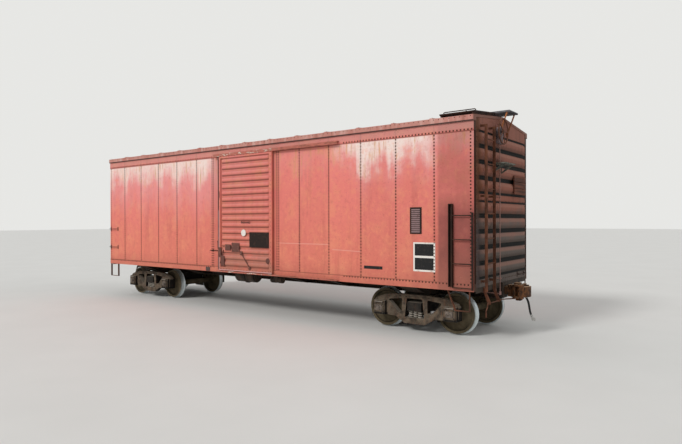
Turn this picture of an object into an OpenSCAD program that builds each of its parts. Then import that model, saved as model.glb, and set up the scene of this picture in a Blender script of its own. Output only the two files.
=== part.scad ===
// A forty-foot steel boxcar with sliding side doors, ribbed ends and two four-wheel trucks.
// X runs along the car towards the hand brake end, Y across it, and Z up.
// Heights in the modules are above the top of the rail. The origin is on the floor, under the wheel flanges.

/* [Body] */
// Length of the body over its flat end sheets
body_len = 12460; // [11400:10:15400]
// Width of the body over its side sheets
body_w = 2960; // [2800:10:3300]
// Height of the side sills' lower edge above the rail
sill_z = 980; // [940:5:1000]
// Height of the wall tops, under the roof's eaves, above the rail
eave_z = 4210; // [3600:10:4600]
// Thickness of a side wall, from its sheet to its wooden lining
side_t = 85; // [70:1:110]
// Thickness of an end wall, without its ribs
end_t = 70; // [60:1:100]
// Height of the floor's top above the rail
floor_z = 1101; // [1090:1:1150]
// Thickness of the floor planks
floor_t = 57; // [40:1:70]
// How far the bands along the foot and the top of a side stand proud
band_t = 6; // [4:1:10]

/* [Ends] */
// Half the height of a main end rib
rib_h = 130; // [100:1:140]
// How far a main end rib stands out of its sheet
rib_out = 58; // [30:1:70]
// Distance between main end ribs
rib_pitch = 304; // [290:1:340]

/* [Roof] */
// Height of the roof's straight edge along each side
fascia_h = 116; // [90:1:150]
// Rise of the roof from its side edges to its ridge
roof_rise = 160; // [100:5:220]
// How far the roof's edge stands out past the side sheets
eave_out = 35; // [20:1:60]
// Thickness of the roof with its ceiling
roof_t = 50; // [35:1:70]
// Number of roof panels along the car
roof_panels = 14; // [10:1:18]
// Width of the running board
board_w = 500; // [400:10:600]
// Thickness of the running board's grating
board_t = 34; // [25:1:45]

/* [Door] */
// Width of the door
door_w = 1960; // [1700:10:2300]
// Clear width of the doorway
doorway_w = 1830; // [1600:10:2100]
// Place of the doorway's middle along its side
door_x = 70; // [0:5:200]
// Thickness of the door's frame
door_t = 60; // [45:1:75]
// Travel of the door
door_travel = 1830; // [1500:10:2000]
// Running gap between the door and what it slides along
door_gap = 8; // [5:0.5:12]

/* [Trucks] */
// Distance between the two truck centres
truck_gap = 9420; // [8600:10:11800]
// Distance between the axles of one truck
wheelbase = 1676; // [1600:2:1780]
// Radius of a wheel's tread
wheel_r = 419; // [400:1:430]
// Height of a wheel's flange
flange_h = 25; // [20:1:30]
// Width of a wheel's rim
rim_w = 145; // [130:1:150]
// Distance between the backs of the two wheels on an axle
back_to_back = 1346; // [1340:1:1360]
// Radius of an axle journal
journal_r = 70; // [60:1:75]
// Radial clearance of a journal in its bearing
journal_gap = 0.5; // [0.3:0.1:0.8]
// Distance between the middles of the two side frames
frame_gap = 1970; // [1950:2:2000]
// Height of the centre plate's face above the rail
plate_z = 654; // [640:1:660]
// Radius of the centre plate
plate_r = 152; // [140:1:165]

/* [Underframe] */
// Depth of the centre sill
centre_sill_d = 330; // [300:5:340]
// Height of the couplers' middle above the rail
coupler_z = 876; // [860:1:890]
// Thickness of the centre sill's webs
sill_web_t = 16; // [12:1:20]

/* [Hidden] */
$fn = 48;
eps = 1;               // how far a cutter runs past a face
seat = 0.3;            // gap where one piece rests on another's slope or curve

half_len = body_len / 2;
half_w = body_w / 2;
inner_y = half_w - side_t;
floor_under = floor_z - floor_t;
sill_band_top = floor_z + 24;
top_band_z = eave_z - 180;
roof_y = half_w + eave_out;
roof_edge_z = eave_z + fascia_h;
ridge_z = roof_edge_z + roof_rise;
roof_slope = roof_rise / roof_y;

red = "indianred";
iron = "dimgray";
rust = "saddlebrown";

// ---- shared shapes ----

// Puts a piece, modelled above the rail, on a floor that carries the wheel flanges
module on_rail() translate([0, 0, flange_h]) children();

// Draws a piece on the right side or brake end, and again turned half a turn
module both_ways() {
  children();
  rotate([0, 0, 180]) children();
}

// A block given by its lowest and highest corners
module block(low, high) translate(low) cube(high - low);

// Extrudes a Y-Z outline along X, from x0 to x1
module along_x(x0, x1) {
  translate([x0, 0, 0]) rotate([90, 0, 90]) linear_extrude(x1 - x0) children();
}

// Extrudes an X-Z outline along Y, from y0 to y1
module along_y(y0, y1) {
  translate([0, y1, 0]) rotate([90, 0, 0]) linear_extrude(y1 - y0) children();
}

function unit(v) = v / norm(v);

// How much a route turns at a point, and the length of straight that a bend of radius R takes up there
function turn_at(points, i) = acos(unit(points[i] - points[i - 1]) * unit(points[i + 1] - points[i]));
function bend_reach(points, i, R) = i == 0 || i == len(points) - 1 ? 0 : R * tan(turn_at(points, i) / 2);

// A round bar through a list of points, bent to a radius at each one between its ends
module bar(points, r, R = 0) {
  for (i = [0 : len(points) - 2]) {
    d = unit(points[i + 1] - points[i]);
    reach = [bend_reach(points, i, R), bend_reach(points, i + 1, R)];
    translate(points[i] + d * reach[0]) aim(d)
      cylinder(h = norm(points[i + 1] - points[i]) - reach[0] - reach[1], r = r, $fn = 24);
  }
  for (i = [1 : 1 : len(points) - 2]) bend(points, i, r, R);
}

// The bent length of a bar at one point of its route
module bend(points, i, r, R) {
  d = unit(points[i] - points[i - 1]);
  next = unit(points[i + 1] - points[i]);
  inward = unit(next - (next * d) * d);
  w = cross(d, inward);
  c = points[i] - bend_reach(points, i, R) * d + R * inward;
  multmatrix([
    [-inward[0], d[0], w[0], c[0]], [-inward[1], d[1], w[1], c[1]], [-inward[2], d[2], w[2], c[2]], [0, 0, 0, 1]
  ]) rotate_extrude(angle = turn_at(points, i), $fn = 48) translate([R, 0]) circle(r, $fn = 24);
}

// A route with each corner between its ends turned into an arc of radius R
function eased(points, R, n = 5) = concat(
  [points[0]],
  [for (i = [1 : 1 : len(points) - 2])
    let (
      d = unit(points[i] - points[i - 1]),
      next = unit(points[i + 1] - points[i]),
      inward = unit(next - (next * d) * d),
      c = points[i] - bend_reach(points, i, R) * d + R * inward,
      step = turn_at(points, i) / n
    )
    for (k = [0 : n]) c + R * (sin(k * step) * d - cos(k * step) * inward)],
  [points[len(points) - 1]]
);

// Direction of a route at one of its points
function heading(points, i) = unit(points[min(i + 1, len(points) - 1)] - points[max(i - 1, 0)]);

// One ring of a tube's corners about a route's point; no part of the route may run along the vector named up
function ring(points, i, r, sides, up) =
  let (d = heading(points, i), u = unit(cross(d, up)), v = cross(d, u))
  [for (k = [0 : sides - 1]) points[i] + r * cos(k * 360 / sides) * u + r * sin(k * 360 / sides) * v];

// A tube along a route, as one many-sided solid
module tube(points, r, sides, up) {
  last = len(points) - 1;
  polyhedron(
    points = [for (i = [0 : last]) each ring(points, i, r, sides, up)],
    faces = concat(
      [[for (k = [0 : sides - 1]) k]],
      [for (i = [0 : last - 1], k = [0 : sides - 1])
        [i * sides + k, (i + 1) * sides + k, (i + 1) * sides + (k + 1) % sides, i * sides + (k + 1) % sides]],
      [[for (k = [sides - 1 : -1 : 0]) last * sides + k]]
    )
  );
}

// Turns a piece that stands on Z to lie along a direction
module aim(d) rotate([0, atan2(norm([d[0], d[1]]), d[2]), atan2(d[1], d[0])]) children();

// A rib like half a rolling pin, lying along Y on the plane X = 0 and standing out along +X
module pin_rib(length, half_h, out) {
  r = (half_h * half_h + out * out) / (2 * out);
  straight = length - 2 * half_h;
  intersection() {
    translate([out - r, 0, 0]) union() {
      translate([0, straight / 2, 0]) rotate([90, 0, 0]) cylinder(h = straight, r = r);
      for (s = [-1, 1]) translate([0, s * straight / 2, 0]) sphere(r);
    }
    block([-eps, -length, -half_h], [out + eps, length, half_h]);
  }
}

// Points of a polygon whose corners are rounded: each row is [x, z, corner radius]
function rounded(rows, n = 6) = [
  for (i = [0 : len(rows) - 1])
    let (
      here = [rows[i][0], rows[i][1]],
      r = rows[i][2],
      before = rows[(i + len(rows) - 1) % len(rows)],
      after = rows[(i + 1) % len(rows)],
      u = ([before[0], before[1]] - here) / norm([before[0], before[1]] - here),
      v = ([after[0], after[1]] - here) / norm([after[0], after[1]] - here),
      half = acos(u * v) / 2,
      centre = here + (u + v) / norm(u + v) * r / sin(half),
      first = here + u * r / tan(half) - centre,
      turn = sign(u[0] * v[1] - u[1] * v[0]) * (180 - 2 * half)
    )
    for (k = [0 : n])
      r == 0 ? here : centre + [
        first[0] * cos(-turn * k / n) - first[1] * sin(-turn * k / n),
        first[0] * sin(-turn * k / n) + first[1] * cos(-turn * k / n)
      ]
];

// ---- body shell ----

module floor() {
  color("peru") block([end_t - half_len, -inner_y, floor_under], [half_len - end_t, inner_y, floor_z]);
}

// Where a doorway is along the right side, and how high
doorway_low = door_x - doorway_w / 2;
doorway_high = door_x + doorway_w / 2;
doorway_top = top_band_z - 40;

// Groove down the corner post, and the lip outside it
corner_lip = 22;
corner_groove = 40;

// The side's section: a channel for a sill, then the wall between its two bands
module side_outline(foot_t) along_x(-half_len, half_len) polygon([
  [-half_w - band_t, sill_z], [-inner_y, sill_z], [-inner_y, sill_z + foot_t],
  [-half_w + foot_t, sill_z + foot_t], [-half_w + foot_t, floor_under],
  [-inner_y, floor_under], [-inner_y, eave_z], [-half_w - band_t, eave_z],
  [-half_w - band_t, top_band_z], [-half_w, top_band_z],
  [-half_w, sill_band_top], [-half_w - band_t, sill_band_top]
]);

module right_side_wall() {
  foot_t = 6;            // thickness of the sill's web and flange
  color(red) difference() {
    union() {
      side_outline(foot_t);
      for (s = [-1, 1]) translate([s * (half_len - foot_t / 2), 0, 0])
        block([-foot_t / 2, -half_w, sill_z], [foot_t / 2, -inner_y, floor_under]);
    }
    block([doorway_low, -half_w - eps, floor_z], [doorway_high, -inner_y + eps, doorway_top]);
    for (s = [-1, 1])
      translate([s * half_len, 0, 0])
        block([-corner_groove, corner_lip - half_w, sill_band_top], [corner_groove, -inner_y - 6, top_band_z]);
  }
}

// Height of the roof's underside at a distance from the middle
function ceiling_z(y) = ridge_z - roof_t - roof_slope * abs(y);

// Main ribs in two groups, the lower on one sheet and the upper, of four, on the other
upper_ribs = 4;
upper_rib_z = eave_z - 297 - (upper_ribs - 1) * rib_pitch;
lower_rib_z = floor_z + 255;
lower_ribs = floor((upper_rib_z - lower_rib_z) / rib_pitch - 0.3);
rib_heights = concat(
  [for (i = [0 : lower_ribs - 1]) lower_rib_z + i * rib_pitch],
  [for (i = [0 : upper_ribs - 1]) upper_rib_z + i * rib_pitch]
);
rib_len = body_w - 2 * 170;

// The end sheet's flat stretches: below the ribs, between their groups, and above them
low_flat_z = lower_rib_z - rib_h - 70;
mid_flat_z = (rib_heights[lower_ribs - 1] + upper_rib_z) / 2;
top_flat_z = eave_z - 58;

// The small rib and the lap between the sheets, as [height, half height, out]
small_ribs = [[eave_z - 122, 28, 16], [mid_flat_z - 58, 20, 6]];

module end_wall() {
  color(red) union() {
    along_x(half_len - end_t, half_len) polygon([
      [-inner_y, floor_under], [inner_y, floor_under], [inner_y, ceiling_z(inner_y) - seat],
      [0, ceiling_z(0) - seat], [-inner_y, ceiling_z(inner_y) - seat]
    ]);
    translate([half_len, 0, 0]) {
      for (z = rib_heights) translate([0, 0, z]) pin_rib(rib_len, rib_h, rib_out);
      for (row = small_ribs) translate([0, 0, row[0]]) pin_rib(rib_len, row[1], row[2]);
    }
  }
}

seam_cap_w = 60;
seam_cap_h = 22;
roof_overhang = 12;      // past each end sheet

module roof() {
  panel = body_len / roof_panels;
  color(red) union() {
    along_x(-half_len - roof_overhang, half_len + roof_overhang) polygon([
      [-roof_y, eave_z], [-roof_y, roof_edge_z], [0, ridge_z], [roof_y, roof_edge_z], [roof_y, eave_z],
      [inner_y, eave_z], [inner_y, ceiling_z(inner_y)], [0, ceiling_z(0)],
      [-inner_y, ceiling_z(inner_y)], [-inner_y, eave_z]
    ]);
    for (i = [1 : roof_panels - 1])
      translate([-half_len + i * panel, 0, 0])
        along_x(-seam_cap_w / 2, seam_cap_w / 2) polygon([
          [-roof_y, roof_edge_z - 30], [-roof_y, roof_edge_z], [-roof_y + 30, roof_edge_z + seam_cap_h],
          [0, ridge_z + seam_cap_h], [roof_y - 30, roof_edge_z + seam_cap_h], [roof_y, roof_edge_z],
          [roof_y, roof_edge_z - 30], [0, ridge_z - 30]
        ]);
  }
}

// ---- running boards on the roof ----

board_top = ridge_z + 92;
board_under = board_top - board_t;
board_end_x = half_len + 240;
board_tip_z = eave_z + 20;       // where the end brackets meet the end sheet

// One saddle that carries the board off the roof's seam cap
module board_saddle(x) {
  half = board_w / 2 - 10;
  low = ridge_z + seam_cap_h + seat;
  translate([x, 0, 0]) along_x(-22, 22)
    polygon([[-half, board_under], [-half, low - roof_slope * half], [0, low], [half, low - roof_slope * half],
             [half, board_under]]);
}

module end_bracket() {
  strap = 8;
  for (y = [-1, 1] * (board_w / 2 - 40)) along_y(y - 20, y + 20)
    polygon([
      [board_end_x - 10, board_under], [board_end_x - 10 - strap * 2, board_under],
      [half_len + 16, board_tip_z + 110], [half_len + 16, board_tip_z], [half_len + 16 + strap, board_tip_z]
    ]);
}

module running_board() {
  panel = body_len / roof_panels;
  color("slategray") union() {
    block([-board_end_x, -board_w / 2, board_under], [board_end_x, board_w / 2, board_top]);
    for (i = [1 : 2 : roof_panels - 1]) board_saddle(-half_len + i * panel);
    both_ways() end_bracket();
  }
}

corner_board_x = half_len - 790;
corner_board_len = 740;
corner_board_y = half_w - 150;
corner_gap = board_w / 2 + seat;       // from the middle to a corner board's inner end

// Height of a plane that lies on the roof's slope, a distance above the ridge's
function over_roof(y, above) = ridge_z + above - roof_slope * abs(y);

// The short board from the running board to a ladder corner, with its two bearers
module corner_board() {
  fall = board_under - ridge_z;
  ys = [-corner_board_y, -corner_gap];
  along_x(corner_board_x, corner_board_x + corner_board_len) polygon([
    [ys[0], over_roof(ys[0], fall)], [ys[1], over_roof(ys[1], fall)],
    [ys[1], over_roof(ys[1], fall + board_t)], [ys[0], over_roof(ys[0], fall + board_t)]
  ]);
  for (x = [corner_board_x + 20, corner_board_x + corner_board_len - 50])
    along_x(x, x + 30) polygon([
      [ys[0], over_roof(ys[0], fall)], [ys[1], over_roof(ys[1], fall)],
      [ys[1], over_roof(ys[1], seam_cap_h + seat)], [ys[0], over_roof(ys[0], seam_cap_h + seat)]
    ]);
}

module corner_boards() {
  color("slategray") both_ways() corner_board();
}

// ---- doors and their tracks ----

door_low_z = floor_z - 60;
door_high_z = top_band_z + 40;
door_back_y = half_w + band_t + door_gap;
door_face_y = door_back_y + door_t;
door_ribs = 17;
door_edge = 90;          // width of the frame round the ribbed sheet
door_sheet_t = 26;

module right_door() {
  low_x = door_x - door_w / 2;
  rib_step = (door_high_z - door_low_z - 2 * door_edge) / door_ribs;
  color(red) union() {
    difference() {
      block([low_x, -door_face_y, door_low_z], [low_x + door_w, -door_back_y, door_high_z]);
      block([low_x + door_edge, -door_face_y - eps, door_low_z + door_edge],
            [low_x + door_w - door_edge, -door_back_y - door_sheet_t, door_high_z - door_edge]);
    }
    for (i = [0 : door_ribs - 1])
      translate([door_x, -door_back_y - door_sheet_t, door_low_z + door_edge + (i + 0.5) * rib_step])
        rotate([0, 0, -90]) pin_rib(door_w - 2 * door_edge - 30, rib_step * 0.36, door_t - door_sheet_t - 8);
    for (x = [low_x + 200, low_x + door_w - 200]) door_roller(x);
  }
}

track_floor_z = door_low_z - 40;     // top of the ledge that the rollers run on
roller_r = 30;
roller_back = door_back_y + 12;
roller_face = door_face_y - 14;

// A roller under the door, and the housing that joins it to the door
module door_roller(x) {
  translate([x, -roller_back, track_floor_z + seat + roller_r]) rotate([90, 0, 0])
    cylinder(h = roller_face - roller_back, r = roller_r);
  block([x - 45, -roller_face, track_floor_z + roller_r], [x + 45, -roller_back, door_low_z + 20]);
}

track_t = 8;

module door_tracks() {
  out = door_face_y + 6;                   // inner face of each track's front lip
  back = half_w + band_t;
  low_x = door_x - door_w / 2 - 60;
  high_x = door_x + door_w / 2 + door_travel + 180;
  hood_z = door_high_z + 24;
  color(red) {
    along_x(low_x, high_x) polygon([
      [-back, track_floor_z - track_t], [-back, track_floor_z],
      [-out, track_floor_z], [-out, track_floor_z + 26], [-out - track_t, track_floor_z + 26],
      [-out - track_t, track_floor_z - track_t]
    ]);
    along_x(low_x - 120, high_x) polygon([
      [-back, hood_z], [-back, hood_z + track_t], [-out - track_t, hood_z + track_t],
      [-out - track_t, door_high_z - 40], [-out, door_high_z - 40], [-out, hood_z]
    ]);
  }
}

// ---- underframe ----

centre_top = floor_under;
centre_low = centre_top - centre_sill_d;
centre_in = 147;                       // from the middle to a web's inner face
centre_out = centre_in + sill_web_t;
centre_flange = 250;                   // from the middle to a flange's edge
centre_flange_t = 14;
striker_x = half_len + 70;             // face of the casting round the coupler's shank
shank_w = 66;                          // half the width of the coupler's shank
shank_h = 80;                          // half its height

module centre_sill() {
  color(iron) difference() {
    union() {
      sill_outline();
      both_ways() striker();
    }
    translate([0, centre_flange, cross_z]) rotate([90, 0, 0]) cylinder(h = 2 * centre_flange, r = pipe_hole_r);
  }
}

// A hat section with flanges along its foot
module sill_outline() along_x(-half_len, half_len) polygon([
  [-centre_flange, centre_low], [-centre_in, centre_low], [-centre_in, centre_top - sill_web_t],
  [centre_in, centre_top - sill_web_t], [centre_in, centre_low], [centre_flange, centre_low],
  [centre_flange, centre_low + centre_flange_t], [centre_out, centre_low + centre_flange_t],
  [centre_out, centre_top], [-centre_out, centre_top], [-centre_out, centre_low + centre_flange_t],
  [-centre_flange, centre_low + centre_flange_t]
]);

// The casting on the sill's end, whose window holds the coupler's shank
module striker() {
  difference() {
    union() {
      block([half_len - 60, -centre_out, centre_low], [striker_x - 30, centre_out, centre_top]);
      block([striker_x - 30, -190, coupler_z - 130], [striker_x, 190, centre_top]);
    }
    block([half_len - 60 - eps, -shank_w - 30, coupler_z - shank_h],
          [striker_x + eps, shank_w + 30, coupler_z + shank_h + 25]);
  }
}

bolster_half = 200;                    // half the width of a body bolster along the car
cover_t = 14;
bolster_flat_y = 700;
bearer_end_y = half_w - 6;             // inner face of the side sill's web
side_bearing_y = 635;
side_bearing_h = 40;

// The outline of a cross member from the centre sill to the side sill, seen along the car
function cross_outline(flat_y, under_z) = [
  [centre_out, centre_low + centre_flange_t], [centre_out, centre_top], [bearer_end_y, centre_top],
  [bearer_end_y, sill_z + 6], [inner_y - 4, sill_z + 6], [flat_y, under_z], [centre_flange, under_z],
  [centre_flange, centre_low + centre_flange_t]
];

module body_bolster() {
  for (side = [0, 180]) rotate([0, 0, side]) {
    for (x = [-120, 108]) along_x(x, x + 12) polygon(cross_outline(bolster_flat_y, centre_low));
    along_x(-bolster_half, bolster_half) polygon([
      [0, centre_low - cover_t], [0, centre_low], [bolster_flat_y, centre_low],
      [inner_y - 4, sill_z + 6], [inner_y - 4, sill_z + 6 - cover_t], [bolster_flat_y + 4, centre_low - cover_t]
    ]);
    block([-110, side_bearing_y - 60, centre_low - cover_t - side_bearing_h],
          [110, side_bearing_y + 60, centre_low - cover_t]);
  }
  translate([0, 0, plate_z]) cylinder(h = centre_low - plate_z, r = plate_r);
  translate([0, 0, plate_z + 22]) cylinder(h = centre_low - plate_z - 22, r = plate_r + 40);
}

// The train pipe's way through the cross members beside the centre sill, at the right end of each
module pipe_way(x0, x1, z) {
  for (s = [0, 180]) rotate([0, 0, s])
    translate([x0, pipe_y, z]) rotate([0, 90, 0]) cylinder(h = x1 - x0, r = pipe_hole_r);
}

module body_bolsters() {
  color(iron) difference() {
    for (s = [-1, 1]) translate([s * truck_gap / 2, 0, 0]) body_bolster();
    pipe_way(truck_gap / 2 - bolster_half, truck_gap / 2 + bolster_half, pipe_z);
  }
}

bearer_places = [-2650, -1350, 1350, 2650];
bearer_half = 60;
bearer_flange_t = 10;
bearer_deep_z = centre_low + 60;

module crossbearer() {
  for (side = [0, 180]) rotate([0, 0, side]) {
    along_x(-5, 5) polygon(cross_outline(600, bearer_deep_z));
    along_x(-bearer_half, bearer_half) polygon([
      [centre_flange, bearer_deep_z - bearer_flange_t], [centre_flange, bearer_deep_z],
      [600, bearer_deep_z], [inner_y - 4, sill_z + 6], [inner_y - 4, sill_z - 4], [602, bearer_deep_z - bearer_flange_t]
    ]);
    block([-bearer_half, centre_out, centre_top - bearer_flange_t], [bearer_half, bearer_end_y, centre_top]);
  }
}

module crossbearers() {
  color(iron) difference() {
    for (x = bearer_places) translate([x, 0, 0]) crossbearer();
    pipe_way(bearer_places[2] - 100, bearer_places[3] + 100, pipe_z);
  }
}

end_sill_w = 110;
end_sill_z = 940;

// An end sill on each side of the centre sill, under the end wall: an angle with its web outwards
module end_sills() {
  color(red) both_ways() for (ys = [[centre_out, inner_y], [-inner_y, -centre_out]])
    difference() {
      block([half_len - end_sill_w, ys[0], end_sill_z], [half_len, ys[1], floor_under]);
      block([half_len - end_sill_w - eps, ys[0] - eps, end_sill_z - eps],
            [half_len - 10, ys[1] + eps, floor_under - 10]);
    }
}

stringer_d = 100;
stringer_w = 60;
stringer_t = 8;
stringer_ys = [400 - half_w, -620, 620, half_w - 400];

// Where the stringers stop against a cross member: [middle, half width]
stops = concat(
  [[-half_len + end_sill_w / 2, end_sill_w / 2], [-truck_gap / 2, 120]],
  [for (x = bearer_places) [x, bearer_half]],
  [[truck_gap / 2, 120], [half_len - end_sill_w / 2, end_sill_w / 2]]
);

module floor_stringers() {
  z0 = floor_under - stringer_d;
  color(iron) for (i = [0 : len(stops) - 2], y = stringer_ys)
    translate([0, y, 0]) along_x(stops[i][0] + stops[i][1], stops[i + 1][0] - stops[i + 1][1]) polygon([
      [0, z0], [stringer_w, z0], [stringer_w, z0 + stringer_t], [stringer_t, z0 + stringer_t],
      [stringer_t, floor_under], [stringer_t - stringer_w, floor_under],
      [stringer_t - stringer_w, floor_under - stringer_t], [0, floor_under - stringer_t]
    ]);
}

// ---- ladders, grab irons and steps ----

rung_r = 11;
stile_t = 10;
side_ladder_x = half_len - 500;        // outer edge of the deep stile
side_stile_w = 80;
side_rungs = [1042, 1500, 1962, 2423];
side_lugs = [1180, 1740, 2430];        // where the stiles are held off the sheet between the bands

module side_ladder() {
  face = half_w + band_t;
  out = face + 70;
  right_x = half_len - 24;
  difference() {
    block([side_ladder_x, -out, sill_z + 70], [side_ladder_x + side_stile_w, -face, 2650]);
    block([side_ladder_x + stile_t, -out - eps, sill_z + 60], [side_ladder_x + side_stile_w - stile_t, -face - 10, 2640]);
  }
  block([right_x, -out, sill_z + 30], [right_x + stile_t, -face, 2480]);
  for (x = [side_ladder_x + side_stile_w / 2, right_x + stile_t / 2], z = side_lugs)
    block([x - 5, -face, z], [x + 5, -half_w, z + 40]);
  for (z = side_rungs)
    translate([side_ladder_x + side_stile_w - stile_t, -face - 45, z]) rotate([0, 90, 0])
      cylinder(h = right_x - side_ladder_x - side_stile_w + 2 * stile_t, r = rung_r);
}

module side_ladders() {
  color(rust) both_ways() side_ladder();
}

end_ladder_ys = [330 - half_w, 740 - half_w];   // outer faces of the two stiles
end_ladder_out = half_len + 75;
end_ladder_d = 60;
rung_pitch = 481;
end_rungs = [for (z = [sill_z + 515 : rung_pitch : eave_z - 240]) z];
end_feet = [low_flat_z, mid_flat_z + 12, top_flat_z];

module end_ladder() {
  for (y = end_ladder_ys) {
    block([end_ladder_out, y, sill_z - 20], [end_ladder_out + end_ladder_d, y + stile_t, eave_z - 30]);
    for (z = end_feet) {
      block([half_len, y, z - 22], [end_ladder_out + eps, y + stile_t, z + 22]);
      block([half_len, y - 24, z - 22], [half_len + 10, y + stile_t, z + 22]);
    }
  }
  for (z = end_rungs)
    translate([end_ladder_out + 30, end_ladder_ys[0] + stile_t / 2, z]) rotate([-90, 0, 0])
      cylinder(h = end_ladder_ys[1] - end_ladder_ys[0], r = rung_r);
}

module end_ladders() {
  color(rust) both_ways() end_ladder();
}

// A grab iron along +X on the plane Y = 0, standing out along -Y
module grab(length, out) {
  foot = 60;
  bar([[0, 0, 0], [0, -out, 0], [length, -out, 0], [length, 0, 0]], 9.5, 24);
  for (x = [0, length]) block([x - 16, -8, -foot], [x + 16, 0, foot]);
}

side_grab_zs = [1515, 2090];
end_grab_z = 1140;

module grab_irons() {
  color(rust) both_ways() {
    for (z = side_grab_zs) translate([-half_len + 40, -half_w, z]) grab(400, 62);
    translate([half_len, 860, end_grab_z]) rotate([0, 0, 90]) grab(400, 75);
    roof_grab();
  }
}

// The round rail beside a corner board, which stands on the roof
module roof_grab() {
  y = 130 - corner_board_y;
  top = ridge_z;
  x0 = corner_board_x + 30;
  xs = [x0, x0 + 480, x0 + 680];       // its three legs
  foot = over_roof(y, board_top - ridge_z) + seat + 1;
  bar([[xs[0], y, foot], [xs[0], y, top], [xs[2], y, top], [xs[2], y, foot]], 10, 30);
  bar([[xs[1], y, top], [xs[1], y, foot]], 8, 30);
}

step_z = 588;
step_t = 12;
step_band = 50;          // width of the flat bar

// A stirrup step bent from flat bar, which hangs from the side sill and has one slanted leg
module sill_step(x, width, slant) {
  y = 8 - half_w;
  inner = step_z + step_t;
  along_y(y, y + step_band) polygon([
    [x, sill_z], [x + slant, step_z], [x + width, step_z], [x + width, sill_z], [x + width - step_t, sill_z],
    [x + width - step_t, inner], [x + slant + step_t, inner], [x + step_t, sill_z]
  ]);
}

module sill_steps() {
  color(rust) both_ways() {
    sill_step(half_len - 562, 466, 160);
    sill_step(-half_len + 12, 410, 0);
  }
}

// ---- couplers ----

// The coupler's head, its pin lugs and its knuckle seen from above, as [x from the striker, y, corner radius]
head_outline = [
  [60, -66, 0], [130, -80, 20], [190, -150, 20], [240, -165, 10], [258, -60, 12], [300, -40, 20], [300, 90, 30],
  [410, 150, 14], [425, 190, 20], [330, 212, 30], [190, 150, 40], [130, 80, 20], [60, 66, 0]
];
lug_outline = [
  [180, -60, 0], [180, -145, 0], [250, -188, 25], [360, -188, 40], [405, -140, 35], [400, -80, 25], [340, -42, 10],
  [262, -42, 0]
];
knuckle_outline = [
  [268, -110, 12], [275, -60, 10], [330, -38, 12], [345, 10, 14], [395, 25, 25], [425, 60, 12], [420, 105, 10],
  [465, 118, 16], [498, 70, 26], [500, -30, 40], [470, -120, 40], [400, -172, 40], [320, -178, 40]
];
head_h = 140;            // half the height of the head over its lugs
lug_h = 34;
knuckle_h = head_h - lug_h - 1;
pin_x = 338;
pin_y = -112;
pin_bore = 20.5;

// Stands a coupler's outline, seen from above, between two heights about the coupler's middle
module coupler_slab(low, high, outline) {
  translate([striker_x, 0, coupler_z + low]) linear_extrude(high - low) polygon(rounded(outline, 4));
}

module coupler() {
  tail_x = half_len - 960;
  yoke_x = striker_x - 560;
  color(rust) difference() {
    union() {
      coupler_slab(-head_h + 20, head_h - 20, head_outline);
      coupler_slab(head_h - lug_h, head_h, lug_outline);
      coupler_slab(-head_h, lug_h - head_h, lug_outline);
      block([yoke_x, -shank_w, coupler_z - shank_h], [striker_x + 90, shank_w, coupler_z + shank_h]);
      block([tail_x, 1 - centre_in, coupler_z - 120], [yoke_x, centre_in - 1, coupler_z + 120]);
    }
    translate([striker_x + pin_x, pin_y, coupler_z - head_h - eps]) cylinder(h = 2 * head_h + 2, r = pin_bore);
  }
}

// A knuckle and its pin, with a small gap to the head
module coupler_knuckle() {
  coupler_slab(-knuckle_h, knuckle_h, knuckle_outline);
  translate([striker_x + pin_x, pin_y, coupler_z - head_h - 12]) cylinder(h = 2 * head_h + 24, r = pin_bore - seat);
  translate([striker_x + pin_x, pin_y, coupler_z + head_h + seat]) cylinder(h = 12, r = pin_bore + 10);
}

module coupler_knuckles() {
  color(rust) both_ways() coupler_knuckle();
}

// The bent rod that lifts the coupler's lock, and the two brackets that carry it off the end sill
module uncoupling_lever() {
  x = half_len + 120;
  end_y = -1130;
  route = [
    [x + 150, -60, 720], [x + 60, -200, 722], [x, -330, 724], [x, -900, 724], [x, end_y, 735], [x, end_y, 660],
    [x, end_y - 70, 600], [x, end_y - 70, 470]
  ];
  tube(eased(route, 30), lever_r, 10, [1, 0, 0]);
  for (y = [-1040, -560]) along_y(y - 5, y + 5) polygon([
    [half_len, end_sill_z + 4], [half_len, end_sill_z + 90], [half_len + 16, end_sill_z + 90], [x + 24, 760],
    [x + 24, 700], [x - 24, 700]
  ]);
}

lever_r = 12;

module uncoupling_levers() {
  color(rust) both_ways() uncoupling_lever();
}

// ---- hand brake ----

brake_y = end_ladder_ys[1] + 330;
brake_z = eave_z - 90;
brake_wheel_r = 265;
brake_wheel_x = half_len + 150;        // back of the wheel's hub
brake_rod_x = half_len + 95;
brake_rod_r = 9;
crest = half_len + rib_out + seat;     // just clear of the end ribs' crests
last_rib = len(rib_heights) - 1;

module hand_brake_housing() {
  low = brake_z - 250;
  color(iron) union() {
    translate([crest + 6, brake_y, brake_z - 20]) rotate([0, 90, 0]) cylinder(h = 64, r = 125);
    block([crest + 6, brake_y - 100, low], [crest + 66, brake_y + 100, brake_z - 20]);
    translate([crest + 60, brake_y, brake_z]) rotate([0, 90, 0]) cylinder(h = brake_wheel_x - crest - 60, r = 24);
    block([crest, brake_y - 115, rib_heights[last_rib] - 25], [crest + 8, brake_y + 115, rib_heights[last_rib] + 25]);
    block([half_len, brake_y - 100, top_flat_z - 15], [crest + 8, brake_y + 100, top_flat_z + 15]);
  }
}

module hand_brake_wheel() {
  rim_tube = 14;
  spokes = 5;
  color(iron) translate([brake_wheel_x, brake_y, brake_z]) rotate([0, 90, 0]) union() {
    translate([0, 0, 22]) rotate_extrude() translate([brake_wheel_r - rim_tube, 0]) circle(rim_tube);
    cylinder(h = 34, r = 42);
    for (i = [0 : spokes - 1]) rotate([0, 0, (i + 0.25) * 360 / spokes])
      translate([0, 0, 22]) rotate([0, 90, 0]) cylinder(h = brake_wheel_r - rim_tube, r = 9);
  }
}

rod_guides = [mid_flat_z + 12, low_flat_z];
crank_z = 850;

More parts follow.
